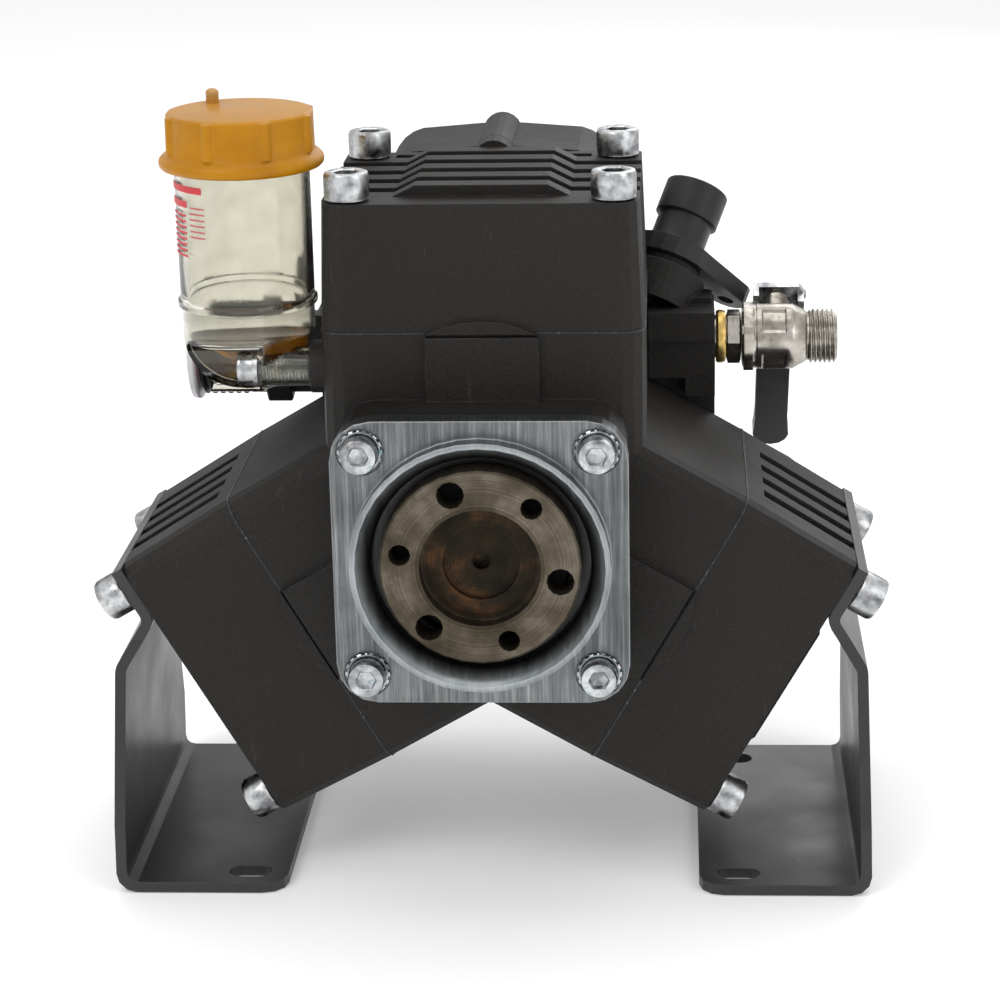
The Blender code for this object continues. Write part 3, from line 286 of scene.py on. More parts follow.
def sheet_paint():
    """Satin black steel with fine scratches and a few rust specks."""
    paint = Paint("black_satin_steel", (0.018, 0.018, 0.019), 0.38)
    broad = paint.noise(26.0, 4.0)
    colour = paint.ramp(broad, [(0.3, (0.011, 0.011, 0.012)), (0.75, (0.021, 0.020, 0.020))])
    lengthwise = paint.noise(70.0, 2.0, 0.5, paint.stretched((10.0, 1.0, 1.0)), 1.0)
    scratch = paint.ramp(lengthwise, [(0.69, 0.0), (0.71, 1.0)])
    colour = paint.over(colour, scratch, 0.12, (0.11, 0.105, 0.10))
    rust = paint.ramp(paint.noise(340.0, 3.0), [(0.70, 0.0), (0.73, 1.0)])
    near_foot = paint.ramp(paint.split(paint.place)["Z"], [(0.003, 1.0), (0.012, 0.0)])
    colour = paint.over(colour, rust, near_foot, (0.16, 0.085, 0.04))
    patchy = paint.ramp(paint.noise(200.0), [(0.45, 0.0), (0.6, 1.0)])
    # Lighter colour along the edges: partly rubbed wear, partly a painted highlight.
    edge_wear_and_highlight = paint.math("MULTIPLY", paint.edges(0.0005), patchy)
    colour = paint.over(colour, edge_wear_and_highlight, 0.45, (0.15, 0.145, 0.14))
    paint.feed("Base Color", colour)
    paint.feed("Roughness", paint.ramp(broad, [(0.3, 0.30), (0.7, 0.46)]))
    paint.bump(paint.noise(900.0, 2.0), 0.18, 0.00010, paint.rounded(0.0006))
    return paint.set(Specular_IOR_Level=0.55).mat


def bright_zinc(name, tint):
    """Zinc-plated steel with painted reflections: dark and light patches in its colour, and a
    faint tint.
    """
    paint = Paint(name, (0.72, 0.73, 0.75), 0.27, 1.0)
    broad = paint.noise(160.0, 3.0)
    # Painted reflection: strong dark and light patches stand in for darker surroundings seen in
    # the metal; the last stop is the plating's tint.
    colour = paint.ramp(broad, [(0.34, (0.20, 0.205, 0.215)), (0.50, (0.46, 0.47, 0.48)),
                                (0.60, (0.66, 0.67, 0.68)), (0.72, tint)])
    grime = paint.ramp(paint.noise(420.0, 4.0), [(0.60, 0.0), (0.72, 1.0)])
    colour = paint.over(colour, grime, 0.45, (0.22, 0.20, 0.18))
    paint.feed("Base Color", colour)
    paint.feed("Roughness", paint.ramp(broad, [(0.35, 0.20), (0.7, 0.40)]))
    paint.bump(paint.noise(2200.0, 2.0), 0.20, 0.00006)
    return paint.mat


def machined_alloy():
    """Milled aluminium with streaks down its face, painted highlights on its edges and raised
    ring, and painted shade in its bore.
    """
    paint = Paint("machined_aluminium", (0.52, 0.55, 0.57), 0.42, 1.0)
    streaks = paint.noise(34.0, 5.0, 0.65, paint.stretched((26.0, 1.0, 0.8)))
    broad = paint.noise(38.0, 4.0)
    colour = paint.ramp(streaks, [(0.30, (0.115, 0.124, 0.130)), (0.52, (0.190, 0.199, 0.204)),
                                  (0.72, (0.330, 0.340, 0.345))])
    dull = paint.ramp(broad, [(0.40, 0.72), (0.66, 1.10)])
    colour = paint.mix(1.0, colour, dull, "MULTIPLY")
    stain = paint.ramp(paint.noise(260.0, 4.0), [(0.63, 0.0), (0.70, 1.0)])
    colour = paint.over(colour, stain, 0.5, (0.16, 0.17, 0.17))
    # Painted highlight along every edge.
    colour = paint.over(colour, paint.edges(0.0009), 0.7, (0.56, 0.58, 0.60))
    radius = paint.shaft_radius()
    # Painted highlight: the raised ring inside FLANGE_RING is made lighter and bluish.
    ring = paint.ramp(radius, [(FLANGE_RING, 1.0), (FLANGE_RING + 0.0002, 0.0)])
    rim = paint.ramp(broad, [(0.35, (0.30, 0.335, 0.355)), (0.65, (0.50, 0.535, 0.555))])
    colour = paint.over(colour, ring, 0.85, rim)
    # Painted shade: inside the bore the colour is made almost black.
    painted_bore_shade = paint.ramp(radius, [(FLANGE_BORE, 1.0), (FLANGE_BORE + 0.0006, 0.0)])
    colour = paint.mix(painted_bore_shade, colour, (0.020, 0.019, 0.018))
    paint.feed("Base Color", colour)
    paint.feed("Roughness", paint.ramp(streaks, [(0.3, 0.46), (0.7, 0.30)]))
    paint.bump(streaks, 0.22, 0.00010, paint.rounded(0.0008))
    return paint.mat


def turned_steel():
    """Brownish turned steel, inside the coupling's recess partly rusty and partly darkened with
    painted shade.
    """
    paint = Paint("turned_steel", (0.30, 0.26, 0.21), 0.45, 0.85)
    radius = paint.shaft_radius()
    rings = paint.noise_along(radius, 1500.0, 2.0)
    blotch = paint.noise(70.0, 5.0, 0.6)
    face = paint.ramp(blotch, [(0.30, (0.050, 0.040, 0.027)), (0.50, (0.092, 0.075, 0.052)),
                               (0.70, (0.165, 0.142, 0.110))])
    # Inside the recess: partly rust, partly painted shade, near black.
    hollow = paint.ramp(blotch, [(0.35, (0.012, 0.0095, 0.0065)), (0.52, (0.020, 0.014, 0.008)),
                                 (0.66, (0.060, 0.028, 0.012))])
    inside = paint.ramp(radius, [(DISC_RECESS - 0.0003, 1.0), (DISC_RECESS + 0.0003, 0.0)])
    colour = paint.mix(inside, face, hollow)
    lines = paint.ramp(rings, [(0.35, 0.78), (0.62, 1.15)])
    colour = paint.mix(1.0, colour, lines, "MULTIPLY")
    paint.feed("Base Color", colour)
    paint.feed("Roughness", paint.ramp(blotch, [(0.3, 0.58), (0.7, 0.33)]))
    paint.bump(rings, 0.20, 0.00008, paint.rounded(0.0006))
    return paint.mat


def bearing_steel():
    """Ground steel, hardly seen."""
    paint = Paint("bearing_steel", (0.55, 0.55, 0.55), 0.25, 1.0)
    paint.feed("Base Color", paint.ramp(paint.noise(90.0), [(0.3, 0.40), (0.7, 0.62)]))
    paint.bump(paint.noise(1800.0), 0.15, 0.00005)
    return paint.mat


def rubber():
    """Matt black rubber."""
    paint = Paint("black_rubber", (0.014, 0.014, 0.014), 0.78)
    paint.feed("Base Color", paint.ramp(paint.noise(240.0), [(0.3, 0.010), (0.7, 0.022)]))
    paint.bump(paint.noise(1500.0), 0.3, 0.0001)
    return paint.mat


def cap_plastic():
    """Orange-yellow moulded plastic, lighter and paler on its top face."""
    paint = Paint("orange_plastic", (0.72, 0.35, 0.012), 0.36)
    broad = paint.noise(60.0, 4.0)
    colour = paint.ramp(broad, [(0.3, (0.37, 0.150, 0.0006)), (0.7, (0.47, 0.205, 0.0010))])
    dirt = paint.ramp(paint.noise(420.0, 4.0), [(0.62, 0.0), (0.72, 1.0)])
    colour = paint.over(colour, dirt, 0.25, (0.42, 0.20, 0.02))
    # Painted highlight: lighter orange along the edges.
    colour = paint.over(colour, paint.edges(0.0006), 0.45, (0.85, 0.48, 0.08))
    # The top face is made lighter and paler.
    just_below_top = CAP_TOP + ORIGIN.z - 0.001
    above = paint.math("SUBTRACT", paint.split(paint.place)["Z"], just_below_top)
    top = paint.ramp(above, [(0.0002, 0.0), (0.0008, 1.0)])
    lighter_top_tone = paint.ramp(broad, [(0.3, (0.42, 0.26, 0.10)), (0.7, (0.52, 0.33, 0.14))])
    colour = paint.over(colour, top, 0.75, lighter_top_tone)
    paint.feed("Base Color", colour)
    paint.feed("Roughness", paint.ramp(broad, [(0.3, 0.30), (0.7, 0.44)]))
    paint.bump(paint.noise(1100.0, 2.0), 0.16, 0.00012, paint.rounded(0.0005))
    return paint.set(Specular_IOR_Level=0.22, Subsurface_Weight=0.10, Subsurface_Scale=0.002,
                     Subsurface_Radius=(1.0, 0.5, 0.1)).mat


def clear_plastic():
    """Clear, slightly yellowed moulding."""
    paint = Paint("clear_plastic", (0.93, 0.90, 0.74), 0.06)
    haze = paint.noise(120.0, 3.0)
    paint.feed("Base Color", paint.ramp(haze, [(0.3, (0.78, 0.765, 0.69)),
                                               (0.7, (0.70, 0.685, 0.60))]))
    paint.feed("Roughness", paint.ramp(haze, [(0.35, 0.03), (0.7, 0.14)]))
    paint.bump(paint.noise(260.0, 2.0), 0.10, 0.0002)
    return paint.set(Transmission_Weight=1.0, IOR=1.46).mat


def oil():
    """Amber oil, darker in drifts."""
    paint = Paint("pump_oil", (0.60, 0.24, 0.02), 0.03)
    drift = paint.noise(60.0, 3.0)
    paint.feed("Base Color", paint.ramp(drift, [(0.3, (0.16, 0.055, 0.004)),
                                                (0.7, (0.50, 0.22, 0.02))]))
    paint.bump(drift, 0.05, 0.0005)
    return paint.set(Transmission_Weight=0.85, IOR=1.47).mat


def white_plastic():
    """Milky plastic that lets a little light through."""
    paint = Paint("white_translucent_plastic", (0.80, 0.81, 0.83), 0.34)
    broad = paint.noise(120.0, 3.0)
    paint.feed("Base Color", paint.ramp(broad, [(0.3, (0.74, 0.75, 0.78)),
                                                (0.7, (0.86, 0.87, 0.89))]))
    paint.bump(paint.noise(900.0), 0.12, 0.0001, paint.rounded(0.0004))
    return paint.set(Subsurface_Weight=0.4, Subsurface_Scale=0.004, Transmission_Weight=0.25).mat


def black_plastic():
    """Moulded black plastic with a faint grain."""
    paint = Paint("black_plastic", (0.016, 0.016, 0.016), 0.42)
    broad = paint.noise(80.0, 3.0)
    colour = paint.ramp(broad, [(0.3, (0.012, 0.012, 0.012)), (0.7, (0.022, 0.021, 0.021))])
    # Painted highlight: lighter grey along the edges.
    colour = paint.over(colour, paint.edges(0.0005), 0.35, (0.075, 0.072, 0.070))
    paint.feed("Base Color", colour)
    paint.feed("Roughness", paint.ramp(broad, [(0.3, 0.36), (0.7, 0.52)]))
    paint.bump(paint.noise(1300.0, 2.0), 0.22, 0.0001, paint.rounded(0.0005))
    return paint.set(Specular_IOR_Level=0.30).mat


def nickel():
    """Warm nickel plating over a forged body, darker in random patches."""
    paint = Paint("nickel_plated_brass", (0.60, 0.56, 0.50), 0.26, 1.0)
    broad = paint.noise(110.0, 4.0)
    colour = paint.ramp(broad, [(0.30, (0.16, 0.145, 0.122)), (0.50, (0.36, 0.335, 0.295)),
                                (0.70, (0.58, 0.55, 0.50))])
    grime = paint.ramp(paint.noise(520.0, 4.0), [(0.60, 0.0), (0.70, 1.0)])
    colour = paint.over(colour, grime, 0.45, (0.13, 0.105, 0.08))
    # Painted highlight: lighter along the edges.
    colour = paint.over(colour, paint.edges(0.0004), 0.5, (0.72, 0.70, 0.66))
    paint.feed("Base Color", colour)
    paint.feed("Roughness", paint.ramp(broad, [(0.3, 0.34), (0.7, 0.18)]))
    paint.bump(paint.noise(700.0, 3.0), 0.22, 0.00010, paint.rounded(0.0005))
    return paint.mat


def brass():
    """Yellow sealing ring."""
    paint = Paint("brass_sealing", (0.62, 0.43, 0.13), 0.34, 1.0)
    paint.feed("Base Color", paint.ramp(paint.noise(300.0), [(0.3, (0.42, 0.27, 0.07)),
                                                             (0.7, (0.74, 0.54, 0.20))]))
    paint.bump(paint.noise(1500.0), 0.25, 0.0001)
    return paint.mat


def label_print(name, colour):
    """Matt ink on film."""
    paint = Paint(name, colour, 0.45)
    dark = tuple(value * 0.80 for value in colour)
    paint.feed("Base Color", paint.ramp(paint.noise(400.0, 3.0), [(0.3, dark), (0.7, colour)]))
    paint.bump(paint.noise(900.0), 0.08, 0.0001)
    return paint.mat


def seam_compound():
    """Black jointing compound with pale flecks."""
    paint = Paint("seam_compound", (0.010, 0.010, 0.010), 0.50)
    shade = paint.ramp(paint.noise(500.0), [(0.3, 0.006), (0.60, 0.016), (0.66, 0.13)])
    paint.feed("Base Color", shade)
    paint.bump(paint.noise(1500.0), 0.4, 0.0001)
    return paint.mat


def floor_paint():
    """White studio ground with a slight glow of its own."""
    paint = Paint("studio_floor", (0.90, 0.90, 0.90), 0.65)
    paint.feed("Base Color", paint.ramp(paint.noise(3.0), [(0.3, 0.885), (0.7, 0.905)]))
    return paint.set(Emission_Color=(1.0, 1.0, 1.0, 1.0), Emission_Strength=0.16).mat


CASTING = casting_paint()
SHEET = sheet_paint()
ZINC = bright_zinc("bright_zinc_steel", (0.34, 0.35, 0.36))
TINTED_ZINC = bright_zinc("tinted_zinc_steel", (0.16, 0.34, 0.40))
ALLOY = machined_alloy()
STEEL = turned_steel()
BEARING = bearing_steel()
RUBBER = rubber()
CAP = cap_plastic()
CLEAR = clear_plastic()
OIL = oil()
WHITE = white_plastic()
BLACK = black_plastic()
NICKEL = nickel()
BRASS = brass()
SEAM_DARK = seam_compound()

NODE_MATERIALS = (
    ("crankcase", CASTING), ("head_bolt", ZINC), ("head_", CASTING), ("front_flange", ALLOY),
    ("flange_screw", TINTED_ZINC), ("crankshaft", STEEL), ("front_bearing", BEARING),
    ("rear_bearing", BEARING), ("oil_seal", RUBBER), ("eccentric_ring", BEARING),
    ("piston", BEARING), ("diaphragm", RUBBER), ("suction_valve", BLACK),
    ("delivery_valve", BLACK), ("manifold_bolt", ZINC), ("valve_manifold", CASTING),
    ("bracket", SHEET), ("oil_reservoir", CLEAR), ("oil_cap", CAP), ("reservoir_screw", ZINC),
    ("suction_spigot", BLACK), ("suction_plug", WHITE), ("return_port", BLACK),
    ("return_seal", RUBBER), ("return_screw", ZINC), ("outlet_nipple", NICKEL),
    ("valve_body", NICKEL), ("valve_ball", NICKEL), ("valve_stem", NICKEL),
    ("lever_grip", BLACK), ("lever", ZINC),
)


def dress_cad_nodes():
    """Give each plain solid the material of the first prefix that fits its name."""
    for name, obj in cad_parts.items():
        for prefix, mat in NODE_MATERIALS:
            if name.startswith(prefix):
                obj.data.materials.clear()
                obj.data.materials.append(mat)
                break


# ---- mesh helpers --------------------------------------------------------------------------
def new_object(name, data):
    """A mesh, camera or light placed in the scene."""
    obj = bpy.data.objects.new(name, data)
    bpy.context.scene.collection.objects.link(obj)
    return obj


def finished_mesh(name, work):
    """The mesh of a bmesh, which is used up."""
    mesh = bpy.data.meshes.new(name)
    work.to_mesh(mesh)
    work.free()
    return mesh


def piece(name, mesh, mat, body, nodes=(), sharp=35):
    """Put a finished mesh in the scene, on its body and in place of its plain solids."""
    obj = new_object(name, mesh)
    mesh.materials.append(mat)
    mesh.shade_smooth()
    mesh.set_sharp_from_angle(angle=math.radians(sharp))
    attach(obj, body)
    if nodes:
        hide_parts(*nodes)


def bridge(work, first, second):
    """Faces between two rings of vertices; a ring of one vertex is a tip."""
    count = max(len(first), len(second))
    for index in range(count):
        after = (index + 1) % count
        if len(first) == 1:
            corners = (first[0], second[index], second[after])
        elif len(second) == 1:
            corners = (first[index], first[after], second[0])
        else:
            corners = (first[index], first[after], second[after], second[index])
        work.faces.new(corners)


def turned_mesh(name, rings, segments, place):
    """A closed shape of rings round Z.  A ring is (radius, height).  The radius may be a
    function of the angle, and a radius of 0 closes an end."""
    work = bmesh.new()
    loops = []
    for radius, height in rings:
        if radius == 0.0:
            loops.append([work.verts.new((0.0, 0.0, height))])
            continue
        loop = []
        for index in range(segments):
            angle = 2.0 * math.pi * index / segments
            r = radius(angle) if callable(radius) else radius
            loop.append(work.verts.new((r * math.cos(angle), r * math.sin(angle), height)))
        loops.append(loop)
    if len(loops[0]) > 1:
        loops.append(loops[0])
    for first, second in zip(loops, loops[1:]):
        bridge(work, first, second)
    bmesh.ops.recalc_face_normals(work, faces=work.faces)
    mesh = finished_mesh(name, work)
    mesh.transform(place)
    return mesh


def facing(origin, direction):
    """A frame whose Z runs along direction."""
    turn = Vector(direction).to_track_quat("Z", "Y").to_matrix().to_4x4()
    return Matrix.Translation(Vector(origin)) @ turn


def polygon(apothem, sides, spin=0.0):
    """Radius of a regular polygon at an angle."""
    step = 2.0 * math.pi / sides

    def radius(angle):
        return apothem / math.cos((angle + spin) % step - step / 2.0)

    return radius


def knurl(radius, depth, count):
    """Radius with small ridges all round."""

    def ridged(angle):
        return radius - depth * (round(angle * count / math.pi) % 2)

    return ridged


# ---- socket screws -------------------------------------------------------------------------
def screw_rings(size):
    """Head upward from its seat at height 0: socket, chamfered top, knurled side, short shank."""
    head, height, socket = size["head"], size["height"], size["socket"]
    hexagon = polygon(socket, 6)
    ridges = knurl(head, 0.00022, FINE // 2)
    return [(0.0, height * 0.42), (socket * 0.55, height * 0.44), (hexagon, height * 0.50),
            (hexagon, height - 0.0005), (polygon(socket * 1.10, 6), height - 0.0001),
            (socket * 1.34, height), (head - 0.0011, height), (head - 0.0004, height - 0.0003),
            (head - 0.0002, height - 0.0009), (ridges, height - 0.0013), (ridges, 0.0016),
            (head - 0.0002, 0.0012), (head - 0.0001, 0.0004), (head - 0.0005, 0.0),
            (size["shank"], 0.0), (size["shank"], -SHANK_LENGTH), (0.0, -SHANK_LENGTH)]


def screw_top(node, turn):
    """Middle of the top of a screw's plain solid, once turned upright."""
    corners = [turn @ vertex.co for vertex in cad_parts[node].data.vertices]
    low = Vector([min(c[i] for c in corners) for i in range(3)])
    high = Vector([max(c[i] for c in corners) for i in range(3)])
    return Vector(((low.x + high.x) / 2, (low.y + high.y) / 2, high.z))


def socket_screw(node, outward, size, mat):
    """A socket-head screw in the place of its plain solid."""
    turn = Vector(outward).to_track_quat("Z", "Y").to_matrix()
    top = screw_top(node, turn.transposed().to_4x4())
    place = turn.to_4x4() @ Matrix.Translation(top - Vector((0, 0, size["height"])))
    mesh = turned_mesh(node + "_look", screw_rings(size), FINE, place)
    piece(node + "_look", mesh, mat, "pump", [node])


def make_screws():
    """The twelve head screws, three manifold screws, four flange screws and the port's one."""
    for arm, angle in ARMS.items():
        outward = Matrix.Rotation(angle, 3, "Y") @ Vector((0, 0, 1))
        for place in ("front", "rear"):
            for side in ("a", "b"):
                socket_screw(f"head_bolt_{arm}_{place}_{side}", outward, M10, ZINC)
        socket_screw("manifold_bolt_" + arm, (0, 1, 0), M8, ZINC)
    for place in ("top_left", "top_right", "bottom_left", "bottom_right"):
        socket_screw("flange_screw_" + place, (0, -1, 0), M8, TINTED_ZINC)
    socket_screw("return_screw", RETURN_AXIS, M6, ZINC)


def make_lock_washers():
    """Notched washers showing round the heads of the flange screws."""
    teeth = knurl(0.0079, 0.0007, 16)
    rings = [(0.0068, 0.0), (0.0076, 0.0), (teeth, 0.0003), (teeth, 0.0011), (0.0074, 0.0014),
             (0.0068, 0.0013)]
    for side_x, column in ((-1, "left"), (1, "right")):
        for side_z, row in ((-1, "bottom"), (1, "top")):
            seat = at(side_x * FLANGE_SCREW, WASHER_Y, side_z * FLANGE_SCREW)
            name = f"lock_washer_{row}_{column}"
            mesh = turned_mesh(name, rings, 64, facing(seat, (0, -1, 0)))
            piece(name, mesh, TINTED_ZINC, "pump")


# ---- threads -------------------------------------------------------------------------------
def threaded(root, crest, start, end, pitch, taper=0.0007):
    """Rings of a helical thread up Z from start to end, run out at both ends."""
    steps = max(8, round((end - start) / pitch * TURN_SAMPLES))
    rings = []
    for index in range(steps + 1):
        height = start + (end - start) * index / steps
        fade = min(1.0, (height - start) / taper, (end - height) / taper)

        def radius(angle, height=height, fade=fade):
            phase = (height / pitch - angle / (2.0 * math.pi)) % 1.0
            ridge = max(0.0, min(1.0, 1.6 - abs(phase - 0.5) * 4.0))
            return root + (crest - root) * ridge * max(0.0, fade)

        rings.append((radius, height))
    return rings


def make_suction_spigot():
    """Coarsely threaded pipe with a hexagon, open at its end."""
    hexagon = polygon(0.0170, 6, HEXAGON_SPIN)
    chamfer = polygon(0.0163, 6, HEXAGON_SPIN)
    rings = ([(0.0120, 0.0640), (0.0120, 0.0703), (0.0161, 0.0706), (0.0161, 0.0815),
              (chamfer, 0.0815), (hexagon, 0.0820), (hexagon, 0.0910), (chamfer, 0.0915),
              (0.0161, 0.0916), (0.0161, 0.0978)]
             + threaded(0.0149, 0.0166, 0.0982, 0.1165, 0.0031)
             + [(0.0146, 0.1170), (0.0124, 0.1170), (0.0118, 0.1160), (0.0118, 0.1000),
                (0.0095, 0.0998), (0.0095, 0.0640)])
    place = facing(at(0.0, PORTS_Y, SUCTION_Z), (-1, 0, 0))
    mesh = turned_mesh("suction_spigot_look", rings, ROUND, place)
    piece("suction_spigot_look", mesh, BLACK, "pump", ["suction_spigot"])


def make_valve_body():
    """Ball valve body: octagon end, panelled barrel, shoulder and a threaded outlet."""
    octagon = polygon(0.0126, 8, math.radians(22.5))

    def panelled(depth):
        def radius(angle):
            wave = math.cos(4.0 * angle)
            return 0.0127 - depth * min(1.0, max(0.0, 0.5 - 2.6 * wave))

        return radius

    rings = ([(0.0100, 0.0946), (0.0112, 0.0941), (octagon, 0.0948), (octagon, 0.0984),
              (0.0124, 0.0990), (0.0124, 0.0996), (0.0127, 0.0999), (0.0127, 0.1018),
              (panelled(0.0011), 0.1022), (panelled(0.0013), 0.1108), (0.0127, 0.1112),
              (0.0127, 0.1138), (0.0123, 0.1144), (0.0101, 0.1186), (0.0094, 0.1192),
              (0.0094, 0.1198)]
             + threaded(0.0095, 0.01055, 0.1200, 0.1304, 0.0018, 0.0004)
             + [(0.0093, 0.1308), (0.0074, 0.1308), (0.0068, 0.1302), (0.0068, 0.1160),
                (0.0100, 0.1158)])
    place = facing(at(0.0, PORTS_Y, OUTLET_Z), (1, 0, 0))
    mesh = turned_mesh("valve_body_look", rings, ROUND, place)
    piece("valve_body_look", mesh, NICKEL, "pump", ["valve_body"])


def make_stem_gland():
    """Collar round the valve's stem."""
    stem = Vector((0.0, math.sin(STEM_TILT), math.cos(STEM_TILT)))
    rings = [(0.0033, 0.0100), (0.0062, 0.0100), (0.0062, 0.0150), (0.0056, 0.0156),
             (0.0056, 0.0176), (0.0052, 0.0180), (0.0033, 0.0180)]
    place = facing(at(VALVE_X, PORTS_Y, OUTLET_Z), stem)
    mesh = turned_mesh("stem_gland", rings, 40, place)
    piece("stem_gland", mesh, NICKEL, "pump")


def make_nipple():
    """Hexagon nipple between the valve and its block."""
    hexagon = polygon(0.0094, 6)
    rings = [(0.0055, 0.0720), (0.0083, 0.0720), (0.0083, 0.0881), (0.0090, 0.0882),
             (hexagon, 0.0886), (hexagon, 0.0932), (0.0092, 0.0937), (0.0055, 0.0938)]
    place = facing(at(0.0, PORTS_Y, OUTLET_Z), (1, 0, 0))
    mesh = turned_mesh("outlet_nipple_look", rings, ROUND, place)
    piece("outlet_nipple_look", mesh, NICKEL, "pump", ["outlet_nipple"])


def make_nipple_sealing():
    """Gold sealing ring against the block."""
    rings = [(0.0084, 0.0840), (0.0098, 0.0841), (0.0104, 0.0850), (0.0103, 0.0868),
             (0.0097, 0.0878), (0.0084, 0.0879)]
    place = facing(at(0.0, PORTS_Y, OUTLET_Z), (1, 0, 0))
    mesh = turned_mesh("nipple_sealing", rings, 48, place)
    piece("nipple_sealing", mesh, BRASS, "pump")


# ---- reservoir -----------------------------------------------------------------------------
def combined(target, tool, operation):
    """The first object with the second joined to it or cut from it; the second is used up."""
    boolean = target.modifiers.new(operation, "BOOLEAN")
    boolean.operation = operation
    boolean.solver = "EXACT"
    boolean.object = tool
    evaluated = target.evaluated_get(bpy.context.evaluated_depsgraph_get())
    mesh = bpy.data.meshes.new_from_object(evaluated)
    target.modifiers.clear()
    target.data = mesh
    bpy.data.objects.remove(tool)
    return target


def along_x(x0, x1, radius):
    """A rod on the reservoir screw's axis."""
    place = facing(at(0.0, SCREW_Y, SCREW_Z), (1, 0, 0))
    rings = [(0.0, x0), (radius, x0), (radius, x1), (0.0, x1)]
    return new_object("rod", turned_mesh("rod", rings, 40, place))


def bowl(radius, bottom, shoulder):
    """Rings of half an ellipse from its lowest point up to the shoulder."""
    rings = [(0.0, bottom)]
    for step in range(1, BOWL_RINGS + 1):
        angle = math.radians(90.0) * step / BOWL_RINGS
        rings.append((radius * math.sin(angle),
                      shoulder - (shoulder - bottom) * math.cos(angle)))
    return rings


def pocket(radius, end):
    """The hollow for the screw's head: round at the back, and open to the left and front."""
    outside = -0.1200
    low = at(outside, -0.0100, SCREW_Z - radius)
    high = at(end, SCREW_Y, SCREW_Z + radius)
    tool = along_x(outside, end, radius)
    front = bmesh.new()
    bmesh.ops.create_cube(front, size=1.0)
    fit = Matrix.Translation((low + high) / 2) @ Matrix.Diagonal((*(high - low), 1))
    bmesh.ops.transform(front, verts=front.verts, matrix=fit)
    return combined(tool, new_object("front", finished_mesh("front", front)), "UNION")


def released_mesh(obj):
    """The mesh of a working object, which is removed, with no material on it."""
    mesh = obj.data
    bpy.data.objects.remove(obj)
    mesh.materials.clear()
    return mesh


def make_reservoir():
    """Clear cup with a bead round it, on its sleeve, with a pocket for the screw's head.
    The hollow stops short of the pocket, which leaves the pocket a wall."""
    place = Matrix.Translation(ORIGIN + RESERVOIR)
    outside = bowl(0.0240, 0.0480, CUP_SHOULDER)
    outside += [(0.0240, 0.0800), (0.0244, 0.0806), (0.0252, 0.0810), (0.0253, 0.0820),
                (0.0252, 0.0831), (0.0245, 0.0838), (0.0243, 0.0850), (0.0243, CUP_TOP),
                (0.0, CUP_TOP)]
    inside = bowl(CUP_BORE, 0.0510, CUP_SHOULDER)
    inside += [(CUP_BORE, CUP_TOP + 0.0020), (0.0, CUP_TOP + 0.0020)]
    cup = new_object("cup", turned_mesh("cup", outside, ROUND, place))
    combined(cup, along_x(-0.0990, -0.0795, 0.0090), "UNION")
    combined(cup, along_x(-0.0805, SLEEVE_END, 0.0071), "UNION")
    hollow = new_object("hollow", turned_mesh("hollow", inside, ROUND, place))
    combined(hollow, pocket(0.0096, -0.0792), "DIFFERENCE")
    combined(cup, hollow, "DIFFERENCE")
    combined(cup, pocket(0.0082, -0.0807), "DIFFERENCE")
    combined(cup, along_x(-0.0840, SLEEVE_END + 0.0011, 0.0059), "DIFFERENCE")
    mesh = released_mesh(cup)
    piece("oil_reservoir_look", mesh, CLEAR, "pump", ["oil_reservoir"])


def make_oil():
    """Oil in the cup's bowl, just clear of the wall and of the pocket."""
    place = Matrix.Translation(ORIGIN + RESERVOIR)
    rings = bowl(CUP_BORE - 0.0003, 0.0513, OIL_LEVEL - 0.0002)
    rings += [(0.0216, OIL_LEVEL), (0.0210, OIL_LEVEL - 0.0004), (0.0, OIL_LEVEL - 0.0005)]
    fill = new_object("fill", turned_mesh("fill", rings, 60, place))
    combined(fill, pocket(0.0099, -0.0789), "DIFFERENCE")
    piece("pump_oil", released_mesh(fill), OIL, "pump")


def make_reservoir_screw():
    """Hollow screw seen through the sleeve: hexagon socket, collar and a fine thread."""
    place = facing(at(0.0, SCREW_Y, SCREW_Z), (1, 0, 0))
    hexagon = polygon(0.0034, 6)
    ridges = knurl(0.0070, 0.00016, 36)
    rings = ([(0.0, -0.0850), (0.0020, -0.0850), (hexagon, -0.0853), (hexagon, -0.0886),
              (0.0043, -0.0888), (0.0062, -0.0888), (0.0068, -0.0884), (0.0070, -0.0877),
              (ridges, -0.0872), (ridges, -0.0836), (0.0070, -0.0832), (0.0074, -0.0830),
              (0.0074, -0.0813), (0.0056, -0.0810)]
             + threaded(0.0050, 0.0057, -0.0806, -0.0632, 0.0013, 0.0003)
             + [(0.0040, -0.0628), (0.0040, -0.0562), (0.0, -0.0560)])
    mesh = turned_mesh("reservoir_screw_look", rings, ROUND, place)
    piece("reservoir_screw_look", mesh, ZINC, "pump", ["reservoir_screw"])


def curved_patch(name, mat, start, end, low, high):
    """A thin patch wrapped on the cup, between two bearings in degrees and two heights."""
    outer = PRINT_RADIUS + 0.00018
    steps = max(2, round(abs(end - start) / 6))
    work = bmesh.new()
    rows = []
    for index in range(steps + 1):
        angle = math.radians(start + (end - start) * index / steps)
        reach = Vector((math.cos(angle), math.sin(angle), 0.0))
        rows.append([work.verts.new(RESERVOIR + ORIGIN + reach * r + Vector((0, 0, z)))
                     for r, z in ((PRINT_RADIUS, low), (outer, low),
                                  (outer, high), (PRINT_RADIUS, high))])
    for first, second in zip(rows, rows[1:]):
        bridge(work, first, second)
    work.faces.new(rows[0])
    work.faces.new(rows[-1])
    bmesh.ops.recalc_face_normals(work, faces=work.faces)
    piece(name, finished_mesh(name, work), mat, "pump")


